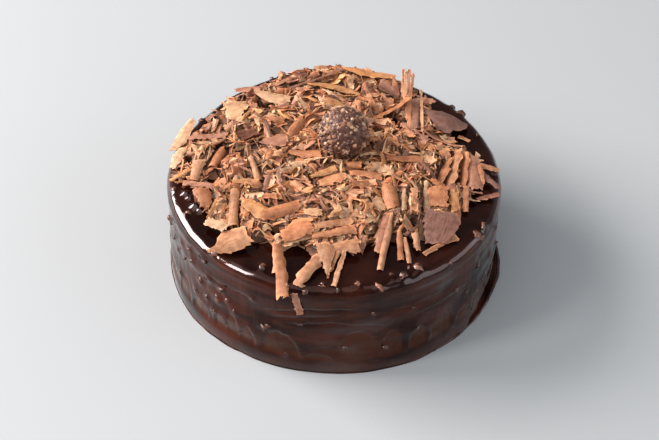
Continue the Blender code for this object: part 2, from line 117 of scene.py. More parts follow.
def eased(value):
    """0 below 0, 1 above 1, and a smooth rise between them."""
    value = min(max(value, 0), 1)
    return value * value * (3 - 2 * value)


def out_of_round(angle):
    """How far the side stands out of a true circle here."""
    total = 0
    for degrees, far, half in OUT_OF_ROUND:
        off = (math.degrees(angle) - degrees + 180) % 360 - 180
        total += far * MM * math.exp(-((off / half) ** 2))
    return total


def cake_top(angle, radius):
    """Height of the glaze over the base here. Beyond the side there is none."""
    over = radius - out_of_round(angle) - (CAKE_RADIUS - EDGE_ROUNDING)
    if over <= 0:
        return CAKE_HEIGHT
    if over >= EDGE_ROUNDING:
        return 0
    return CAKE_HEIGHT - EDGE_ROUNDING + math.sqrt(EDGE_ROUNDING**2 - over**2)


def foot_spread(angle):
    """How far the glaze has run out over the base, which is most at the front right."""
    most = 0.5 + 0.5 * math.cos(angle - FOOT_WIDEST_AT)
    ripple = noise.noise(at_angle(angle, 3.5, 0.4)) + 0.5 * noise.noise(at_angle(angle, 10, 0.9))
    return between(FOOT_SPREAD, max(most**8 + 0.3 * ripple, 0))


def side_radius(angle, height):
    """Radius of the glazed side over its foot, with its level swells."""
    swell = noise.noise(at_angle(angle, 1.6, height / (9 * MM)))
    swell += 0.6 * noise.noise(at_angle(angle, 5, height / (20 * MM)))
    fade = eased((CAKE_HEIGHT - EDGE_ROUNDING - height) / (6 * MM))
    return CAKE_RADIUS + out_of_round(angle) - SIDE_WAVE * (1 - swell) * fade


def foot_point(angle, share):
    """Radius and height of the foot, from its upper end at share 0, over its round lip, to the base at 1."""
    spread = foot_spread(angle)
    side = side_radius(angle, FOOT_HEIGHT)
    lip = between(LIP_HEIGHT, eased((spread - NARROW_FOOT) / (WIDE_FOOT - NARROW_FOOT)))
    out = side + spread - lip / 2
    if share > 0.5:
        turn = between((LIP_FROM, LIP_TO), 2 * share - 1)
        return out + lip / 2 * math.cos(turn), lip / 2 * (1 + math.sin(turn))
    down = 2 * share
    far = out + lip / 2 * math.cos(LIP_FROM)
    low = lip / 2 * (1 + math.sin(LIP_FROM))
    return between((side, far), down**2.2), between((low, FOOT_HEIGHT), (1 - down) ** 1.6)


def under_coat(angle, height):
    """1 where only the first, thinner coat covers the side, under an arch of the last one, else 0."""
    wander = 1.8 * noise.noise(at_angle(angle, 9, 2))
    wander += 1.4 * noise.noise(at_angle(angle, 24, height / (5 * MM)))
    share = 0
    for degrees, half, high, low in ARCHES:
        across = abs((math.degrees(angle) - degrees + 180) % 360 - 180) / half
        if across < 1.2:
            arch = between((low, high), math.sqrt(max(0, 1 - min(across, 1) ** 2))) + wander
            under = eased((arch - height / MM) / ARCH_EDGE + 0.5)
            share = max(share, under * (1 - eased((across - 0.78) / 0.4)))
    return share


def side_relief(angle, height):
    """How far the glaze stands out of the side in ripples, in folds over the layers, and in its last coat."""
    relief = RIPPLE * noise.noise(at_angle(angle, 3.2, height / (9 * MM)))
    relief += 0.5 * RIPPLE * noise.noise(at_angle(angle, 9, height / (16 * MM) + 7))
    relief += 0.25 * RIPPLE * noise.noise(at_angle(angle, 34, height / (30 * MM)))
    degrees = math.degrees(angle)
    for line, depth, half in FOLDS:
        angles, heights = zip(*line)
        strength = eased((degrees - angles[0]) / 8) * eased((angles[-1] - degrees) / 8)
        if strength > 0:
            middle = np.interp(degrees, angles, heights) + 0.9 * noise.noise(at_angle(angle, 8, half))
            under = (height / MM - middle) / half
            relief -= depth * MM * strength * math.exp(-((under * (2.4 if under > 0 else 0.8)) ** 2))
    return relief - ARCH_DEPTH * under_coat(angle, height)


def glaze_outline():
    """Half outline of the cake, from the middle of its top to the middle of its base."""
    flat = CAKE_RADIUS - EDGE_ROUNDING
    shoulder = CAKE_HEIGHT - EDGE_ROUNDING
    outline = [(flat * math.sqrt(ring / TOP_RINGS), CAKE_HEIGHT) for ring in range(TOP_RINGS + 1)]
    for ring in range(1, EDGE_RINGS + 1):
        turn = math.pi / 2 * (1 - ring / EDGE_RINGS)
        outline.append((flat + EDGE_ROUNDING * math.cos(turn), shoulder + EDGE_ROUNDING * math.sin(turn)))
    for ends, rings in (((shoulder, FOOT_HEIGHT), SIDE_RINGS), ((FOOT_HEIGHT, 0), FOOT_RINGS)):
        outline += [(CAKE_RADIUS, between(ends, ring / rings)) for ring in range(1, rings + 1)]
    return outline + [(0, 0)]


def turned(outline, steps):
    """A bmesh turned about Z from a half outline, with its poles closed and its faces outwards."""
    bm = bmesh.new()
    corners = [bm.verts.new((radius, 0, height)) for radius, height in outline]
    lines = [bm.edges.new(pair) for pair in zip(corners, corners[1:])]
    bmesh.ops.spin(
        bm, geom=corners + lines, cent=(0, 0, 0), axis=(0, 0, 1), angle=math.tau, steps=steps, use_merge=True
    )
    bmesh.ops.remove_doubles(bm, verts=bm.verts, dist=1e-6)
    bmesh.ops.recalc_face_normals(bm, faces=bm.faces)
    return bm


# Nut bits under the glaze. Those that the front shows are listed one by one: on the side by angle and height,
# and on the top edge by angle and radius, in degrees and millimetres, each with half of its width. Those
# that the front doesn't show are guessed.
SIDE_NUTS = (
    (-147, 54, 2.1), (-145, 48, 1.9), (-138, 58, 2.0), (-136, 47, 2.2), (-130, 44, 2.1), (-151, 41, 1.6),
    (-141, 37, 2.0), (-131, 35, 2.3), (-127, 38, 1.9), (-137, 29, 1.8), (-124, 32, 1.8), (-133, 23, 1.7),
    (-144, 26, 1.6), (-153, 51, 1.6), (-158, 38, 1.7), (-155, 24, 1.6),
    (-113.3, 30, 2.1), (-110.8, 31.5, 2.0), (-100, 39, 1.7), (-105, 12, 1.9), (-117, 50, 1.5),
    (-62, 44, 1.5), (-60, 27, 1.6), (-43, 40, 1.7), (-37, 30, 1.6), (-31, 44, 1.6), (-25, 24, 1.7),
    (-20, 38, 1.9), (-14, 50, 1.5), (-9, 30, 1.6), (-85, 22, 1.5), (-76, 48, 1.5), (-71, 18, 1.5),
)
RIM_NUTS = (
    (-134, 97, 2.2), (-116, 91.5, 3.4), (-93, 94.6, 2.1), (-81, 94, 2.2), (-74, 97.4, 2.3),
    (-68.5, 92.4, 2.2), (-65, 94.5, 2.7), (-58.5, 92.7, 3.6), (-30.5, 96, 2.2), (-25.5, 96.5, 2.4),
    (-30, 99, 1.9), (2, 96, 2.2), (-105, 97.5, 1.6), (-98.5, 98.5, 1.6), (-88, 97, 1.4), (-61, 90.5, 1.4),
    (-47, 98, 1.3), (38, 97, 2.3), (43, 98, 2.2), (70, 95, 2.1), (97, 97, 1.8), (101, 98, 2.2),
    (111, 97, 2.4), (114, 98, 1.6), (150, 97, 2.1), (172, 95, 1.8), (204, 93, 1.9), (190, 96, 1.7),
    (60, 92, 1.8), (24, 95, 1.7), (12, 89, 1.5),
)
SIDE_NUT_SCALE = 1.25  # a bit in the side is this much wider than what shows of it
RIM_NUT_SUNK = 0.2  # share of half of its width that a bit's middle lies under the glaze on the top edge, ...
SIDE_NUT_SUNK = 0.42  # ... and on the side
BACK_NUTS = 46  # spread by the golden angle over the side that the front doesn't show
BACK_NUT_ANGLES = (math.radians(-5), math.radians(200))
BACK_NUT_HEIGHTS = (12 * MM, 60 * MM)
BACK_NUT_SIZES = (1.4, 2.2)
GOLDEN_ANGLE = math.pi * (3 - math.sqrt(5))
HEIGHT_STEP = 0.7549  # spreads the heights evenly, as the golden angle does the angles


def nut_places():
    """Where each nut bit lies in the glaze, and half of its width."""
    rng = random.Random(3)
    places = []
    for degrees, high, half in SIDE_NUTS:
        angle, height, size = math.radians(degrees), high * MM, half * SIDE_NUT_SCALE * MM
        places.append((at_angle(angle, side_radius(angle, height) - SIDE_NUT_SUNK * size, height), size))
    for degrees, far, half in RIM_NUTS:
        angle, size = math.radians(degrees), half * MM
        radius = far * MM + out_of_round(angle)
        places.append((at_angle(angle, radius, cake_top(angle, radius) - RIM_NUT_SUNK * size), size))
    for count in range(BACK_NUTS):
        angle = between(BACK_NUT_ANGLES, (count * GOLDEN_ANGLE / math.tau + 0.3) % 1)
        height = between(BACK_NUT_HEIGHTS, (count * HEIGHT_STEP + 0.5) % 1)
        size = rng.uniform(*BACK_NUT_SIZES) * MM
        places.append((at_angle(angle, side_radius(angle, height) - SIDE_NUT_SUNK * size, height), size))
    return places


def shape_glaze(bm, nuts, lumps):
    """Moves the turned drum's points out to its swells, foot and relief, and over the nut bits and lumps."""
    thin = bm.verts.layers.float.new("thin")
    shoulder = CAKE_HEIGHT - EDGE_ROUNDING
    flat = CAKE_RADIUS - EDGE_ROUNDING
    for corner in bm.verts:
        angle = math.atan2(corner.co.y, corner.co.x)
        radius, height = corner.co.xy.length, corner.co.z
        if radius < 1 * MM:
            continue
        bulge = out_of_round(angle) * min(radius / flat, 1) ** 3
        wave = noise.noise(at_angle(angle, 4, 3)) + 0.5 * noise.noise(at_angle(angle, 14, 5))
        if height > shoulder and radius < flat:
            near_edge = eased((radius - flat) / NEAR_EDGE + 1)
            rise = near_edge * TOP_WAVE * noise.noise(corner.co / (9 * MM))
            corner.co = at_angle(angle, radius + bulge, height + rise)
        elif height > shoulder:
            out = Vector((radius - flat, height - shoulder)).normalized()
            push = EDGE_WAVE * wave * out.x + TOP_WAVE * noise.noise(corner.co / (9 * MM))
            corner.co = at_angle(angle, radius + bulge + out.x * push, height + out.y * push)
        elif height > FOOT_HEIGHT - 1e-6:
            fade = eased((shoulder - height) / (5 * MM)) * eased((height - FOOT_HEIGHT) / (4 * MM))
            out = side_radius(angle, height) + side_relief(angle, height) * fade
            out += EDGE_WAVE * wave * eased(1 - (shoulder - height) / (9 * MM))
            corner[thin] = under_coat(angle, height) * fade
            corner.co = at_angle(angle, out, height)
        else:
            corner.co = at_angle(angle, *foot_point(angle, 1 - height / FOOT_HEIGHT))
    bm.normal_update()
    points = np.array([corner.co for corner in bm.verts])
    ways = np.array([corner.normal for corner in bm.verts])
    lift = np.zeros(len(points))
    for places, rise in ((nuts, NUT_MOUND_RISE), (lumps, LUMP_MOUND_RISE)):
        for place, size in places:
            far = np.linalg.norm(points - np.array(place), axis=1)
            lift = np.maximum(lift, rise * size * np.exp(-((far / (MOUND_WIDTH * size)) ** 2)))
    for corner, moved in zip(bm.verts, points + ways * lift[:, None]):
        corner.co = moved
    return bm


class Link:
    """A shader socket with a value. Expressions on it add Math nodes."""

    def __init__(self, tree, socket):
        self.tree, self.socket = tree, socket

    def worked(self, operation, *values):
        return fit(self.tree, "ShaderNodeMath", {"operation": operation}, *values)

    def __add__(self, other):
        return self.worked("ADD", self, other)

    def __sub__(self, other):
        return self.worked("SUBTRACT", self, other)

    def __rsub__(self, other):
        return self.worked("SUBTRACT", other, self)

    def __mul__(self, other):
        return self.worked("MULTIPLY", self, other)

    __radd__ = __add__
    __rmul__ = __mul__

    def limited(self, low=0.0, high=1.0):
        return self.worked("MINIMUM", self.worked("MAXIMUM", self, low), high)

    def rising(self, start, end):
        """0 up to the start, 1 from the end on, and even between them."""
        return ((self - start) * (1 / (end - start))).limited()


def feed(tree, node, sockets):
    """Links or sets a node's sockets, by place or by name. A colour comes without its alpha."""
    for key, value in sockets.items():
        socket = node.inputs[key if isinstance(key, int) else key.replace("_", " ")]
        if isinstance(value, Link):
            tree.links.new(value.socket, socket)
        else:
            socket.default_value = (*value, 1) if socket.type == "RGBA" else value


def fit(tree, kind, settings, *values, out=0, **named):
    """Adds a node: its settings first, then its sockets' values or links, by place or by name."""
    node = tree.nodes.new(kind)
    for name, value in settings.items():
        setattr(node, name, value)
    feed(tree, node, dict(enumerate(values)) | named)
    return Link(tree, node.outputs[out])


def blend(tree, share, first, second):
    """A colour between two colours."""
    node = tree.nodes.new("ShaderNodeMix")
    node.data_type = "RGBA"
    feed(tree, node, {0: share, 6: first, 7: second})
    return Link(tree, node.outputs[2])


def finish(name, **constants):
    """A new material, its node tree, and its Principled shader with these constant values."""
    material = bpy.data.materials.new(name)
    material.use_nodes = True
    shader = material.node_tree.nodes["Principled BSDF"]
    feed(material.node_tree, shader, constants)
    return material, material.node_tree, shader


def on_object(tree):
    """The place on the cake in metres, as a vector."""
    return fit(tree, "ShaderNodeTexCoord", {}, out=3)


def millimetres(tree, place, axis):
    """One coordinate of the place, in millimetres."""
    return 1000.0 * fit(tree, "ShaderNodeSeparateXYZ", {}, place, out=axis)


def stretched(tree, vector, factors):
    return fit(tree, "ShaderNodeVectorMath", {"operation": "MULTIPLY"}, vector, factors)


def grain(tree, place, scale, detail=3.0):
    return fit(tree, "ShaderNodeTexNoise", {}, Vector=place, Scale=scale, Detail=detail, Roughness=0.55)


def relief(tree, height, strength, distance):
    return fit(tree, "ShaderNodeBump", {}, Strength=strength, Distance=distance, Height=height)


def placed(name, mesh, material, replaced):
    """The finished mesh as an object of the cake, with its material."""
    mesh.materials.append(material)
    item = bpy.data.objects.new(name, mesh)
    bpy.context.scene.collection.objects.link(item)
    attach(item, "root")
    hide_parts(replaced)


def piece(name, bm, material, replaced, smooth=True):
    mesh = bpy.data.meshes.new(name)
    bm.to_mesh(mesh)
    bm.free()
    if smooth:
        mesh.shade_smooth()
    placed(name, mesh, material, replaced)


GLAZE_DEEP = (0.0060, 0.0014, 0.0009)
GLAZE_THIN = (0.044, 0.0098, 0.0050)
# painted reflection: the lighter, redder colour under the arches of the last coat
PAINTED_REFLECTION_UNDER_ARCHES = (0.046, 0.0125, 0.0040)
GLAZE_SHEEN = (1.0, 0.54, 0.47)


def glaze_finish():
    """Dark, wet-looking chocolate glaze. It is redder where it is thin, and fine draining lines run down it.
    Under the arches of its last coat it is painted lighter and redder: a painted warm reflection.
    It is glossiest where it stayed wet longest: on the foot, the lumps and the rounded edge, most of all at
    the left, and in level pools on the side."""
    material, tree, shader = finish(
        "Dark glaze", Specular_IOR_Level=0.30, Specular_Tint=GLAZE_SHEEN, Coat_Roughness=0.09
    )
    place = on_object(tree)
    right, height = millimetres(tree, place, 0), millimetres(tree, place, 2)
    side = (67.6 - height).limited(0.35, 1.0)  # 1 on the side, and less on the top
    lines = grain(tree, stretched(tree, place, (1.0, 1.0, 0.07)), 420.0, 2.0)
    dimples = grain(tree, place, 160.0, 2.0)
    thin = grain(tree, place, 38.0) + grain(tree, stretched(tree, place, (1.0, 1.0, 5.0)), 30.0)
    colour = blend(tree, thin.rising(0.833, 1.167) * side, GLAZE_DEEP, GLAZE_THIN)
    bare = fit(tree, "ShaderNodeAttribute", {"attribute_name": "thin"}, out=2)
    # painted reflection: under the arches the colour turns lighter and redder
    colour = blend(tree, (bare * (1.6 * dimples)).limited(), colour, PAINTED_REFLECTION_UNDER_ARCHES)
    rough = 0.05 + 0.10 * grain(tree, place, 70.0).rising(0.375, 0.792) + 0.04 * lines
    edge = height.rising(62, 67) * height.rising(67.9, 66.9)
    edge = edge * (0.1 + right.rising(-37.1, -51.4) + 0.45 * right.rising(16, 36))
    foot = 0.7 * height.rising(8.1, 1.9)
    on_lumps = height.rising(68.3, 69.3) * right.rising(-63.3, -71.7)
    pools = grain(tree, stretched(tree, place, (1.0, 1.0, 2.4)), 34.0, 2.0).rising(0.52, 0.72)
    pools = pools * (side - 0.35) * right.rising(-35, 15)
    feed(tree, shader, {
        "Base Color": colour,
        "Roughness": rough,
        "Normal": relief(tree, lines * 0.4 + dimples * 0.35, 0.6, 0.4 * MM),
        "Coat Weight": edge + foot + on_lumps + pools,
    })
    return material


nuts = nut_places()
lumps = [(at_angle(math.radians(degrees), far * MM, CAKE_HEIGHT), half * MM) for degrees, far, half in LUMPS]
glaze = shape_glaze(turned(glaze_outline(), CAKE_STEPS), nuts, lumps)
piece("glazed_cake", glaze, glaze_finish(), "cake")

# The nut bits ------------------------------------------------------------------------------------
# Roasted hazelnut, chopped and stirred into the glaze before it was poured. Each bit is a small nugget,
# coated so thinly on its outer side that it shows redder than the glaze around it.

NUT_ROUGH = 0.75  # how far its dents and corners stand out, against half of its width
# partly the nut's redder colour, and on the bits along the front of the top edge a painted glint
NUT_THIN_AND_GLINT = (0.30, 0.120, 0.072)
NUT_DEEP = (0.028, 0.009, 0.0055)


def nugget(size, place, turn, stretch, rough, fineness):
    """A bit of nut: a rough ball, stretched and turned. Size is half of its width."""
    bm = bmesh.new()
    bmesh.ops.create_icosphere(bm, subdivisions=fineness, radius=size)
    for corner in bm.verts:
        unit = corner.co / size
        dents = noise.noise(unit * 1.6 + place * 900) + 0.3 * noise.noise(unit * 4 + place * 700)
        corner.co *= 1 + rough * dents
    bm.transform(Matrix.LocRotScale(place, turn, stretch))
    return bm


def gathered(bodies):
    """One bmesh of many."""
    whole = bmesh.new()
    spare = bpy.data.meshes.new("spare")
    for bm in bodies:
        bm.to_mesh(spare)
        bm.free()
        whole.from_mesh(spare)
    bpy.data.meshes.remove(spare)
    return whole


def nut_bits(places):
    rng = random.Random(11)
    for place, size in places:
        angle = rng.uniform(0, math.tau)
        turn = Matrix.Rotation(angle, 3, Vector([rng.uniform(-1, 1) for _ in range(3)])).to_quaternion()
        stretch = Vector((rng.uniform(0.9, 1.4), rng.uniform(0.75, 1.15), rng.uniform(0.65, 0.95)))
        yield nugget(size, place, turn, stretch, NUT_ROUGH, 2)


def nut_finish():
    """Nut under a thin skin of glaze, redder in patches. On the bits along the front of the top edge the
    lighter colour is stronger: a painted glint.
    """
    material, tree, shader = finish("Glazed nut bits", Specular_IOR_Level=0.5)
    place = on_object(tree)
    back, height = millimetres(tree, place, 1), millimetres(tree, place, 2)
    patches = grain(tree, place, 230.0)
    # painted glint: the lighter colour is strongest on the bits along the front of the top edge
    bare = 0.35 + 0.65 * height.rising(58.3, 66.7) * back.rising(-16.7, -50)
    feed(tree, shader, {
        "Base Color": blend(tree, patches.rising(0.382, 0.676) * bare, NUT_DEEP, NUT_THIN_AND_GLINT),
        "Roughness": 0.12 + 0.16 * patches,
        "Normal": relief(tree, grain(tree, place, 900.0), 0.6, 0.5 * MM),
    })
    return material


piece("nut_bits_in_the_glaze", gathered(nut_bits(nuts)), nut_finish(), "cake")

# The praline -------------------------------------------------------------------------------------
# A ball of nut cream in a thin shell, rolled in chopped hazelnuts and milk chocolate. It is sunk a
# little in the heap, behind the middle of the cake.

PRALINE_CENTRE = Vector((5 * MM, 13 * MM, CAKE_HEIGHT + 21.5 * MM))
PRALINE_RADIUS = 14.5 * MM
PRALINE_CHIPS = 520
CHIP_SIZES = (0.65 * MM, 2.1 * MM)  # half of a chip's width
CHIP_SUNK = 0.3  # share of that half width that the chip's middle lies under the coat, ...
CHIP_LIFT = 0.25 * MM  # ... less this
CHIP_ROUGH = 0.5
BALL_BROWN = (0.088, 0.033, 0.021)
CHIP_TINTS = (
    (0.56, 0.335, 0.205), (0.40, 0.192, 0.112), (0.23, 0.095, 0.056), (0.13, 0.050, 0.030),
    (0.075, 0.028, 0.018),
)
CHIP_SHARES = (0.20, 0.24, 0.22, 0.19, 0.15)


def tint_by(bm, colour):
    """Gives every point of the mesh one colour, to be read by its material."""
    layer = bm.verts.layers.float_color.new("tint")
    for corner in bm.verts:
        corner[layer] = (*colour, 1)
    return bm


def praline_ball():
    """The ball itself, with relief as coarse as the finer crumbs pressed into it."""
    bm = bmesh.new()
    bmesh.ops.create_icosphere(bm, subdivisions=6, radius=PRALINE_RADIUS)
    for corner in bm.verts:
        at = corner.co / MM
        rise = 0.7 * noise.noise(at / 6) + 1.1 * noise.noise(at / 3.4) + 0.5 * abs(noise.noise(at / 1.1))
        corner.co *= 1 + rise * MM / PRALINE_RADIUS
    bm.transform(Matrix.Translation(PRALINE_CENTRE))
    return tint_by(bm, BALL_BROWN)


def praline_chips():
    rng = random.Random(23)
    for count in range(PRALINE_CHIPS):
        height = 1 - 2 * (count + 0.5) / PRALINE_CHIPS
        out = at_angle(count * GOLDEN_ANGLE, math.sqrt(1 - height**2), height)
        out = (out + 0.05 * Vector([rng.uniform(-1, 1) for _ in range(3)])).normalized()
        size = between(CHIP_SIZES, rng.random() ** 1.8)
        turn = Matrix.Rotation(rng.uniform(0, math.tau), 3, out).to_quaternion()
        stretch = Vector((rng.uniform(0.7, 1.35), rng.uniform(0.8, 1.2), rng.uniform(0.55, 1.0)))
        place = PRALINE_CENTRE + out * (PRALINE_RADIUS + (CHIP_LIFT - CHIP_SUNK * size))
        tint = rng.choices(CHIP_TINTS, CHIP_SHARES)[0]
        shade = rng.uniform(0.8, 1.15)
        yield tint_by(nugget(size, place, turn, stretch, CHIP_ROUGH, 1), [shade * part for part in tint])


def praline_finish(name, rough, strength):
    """Dull chocolate or nut in its own tint, here and there smeared with the coat's brown."""
    material, tree, shader = finish(name, Specular_IOR_Level=0.4)
    place = on_object(tree)
    tint = fit(tree, "ShaderNodeAttribute", {"attribute_name": "tint"})
    mottle = grain(tree, place, 520.0)
    feed(tree, shader, {
        "Base Color": blend(tree, 0.5 * mottle.rising(0.3125, 0.9375), tint, BALL_BROWN),
        "Roughness": rough + 0.2 * mottle,
        "Normal": relief(tree, grain(tree, place, 1100.0, 4.0), strength, 0.6 * MM),
    })
    return material


coat, nut = praline_finish("Praline coat", 0.32, 0.7), praline_finish("Praline nuts", 0.38, 0.5)
piece("praline_ball", praline_ball(), coat, "praline")
piece("praline_nuts", gathered(praline_chips()), nut, "praline", smooth=False)

# The large shavings ------------------------------------------------------------------------------
# Milk chocolate scraped from a block in thin sheets, which curl and tear as they come off. The large
# ones lie on the heap and hang over its edge.

TINTS = {
    "pale": (0.545, 0.318, 0.180),
    "milk": (0.460, 0.214, 0.107),
    "warm": (0.448, 0.176, 0.078),
    "gold": (0.510, 0.236, 0.094),
    "pink": (0.400, 0.180, 0.110),
    "dull": (0.235, 0.100, 0.060),
    "grey": (0.195, 0.092, 0.066),
    # only the heap's core uses this: painted shade
    "dark": (0.070, 0.027, 0.016),
}
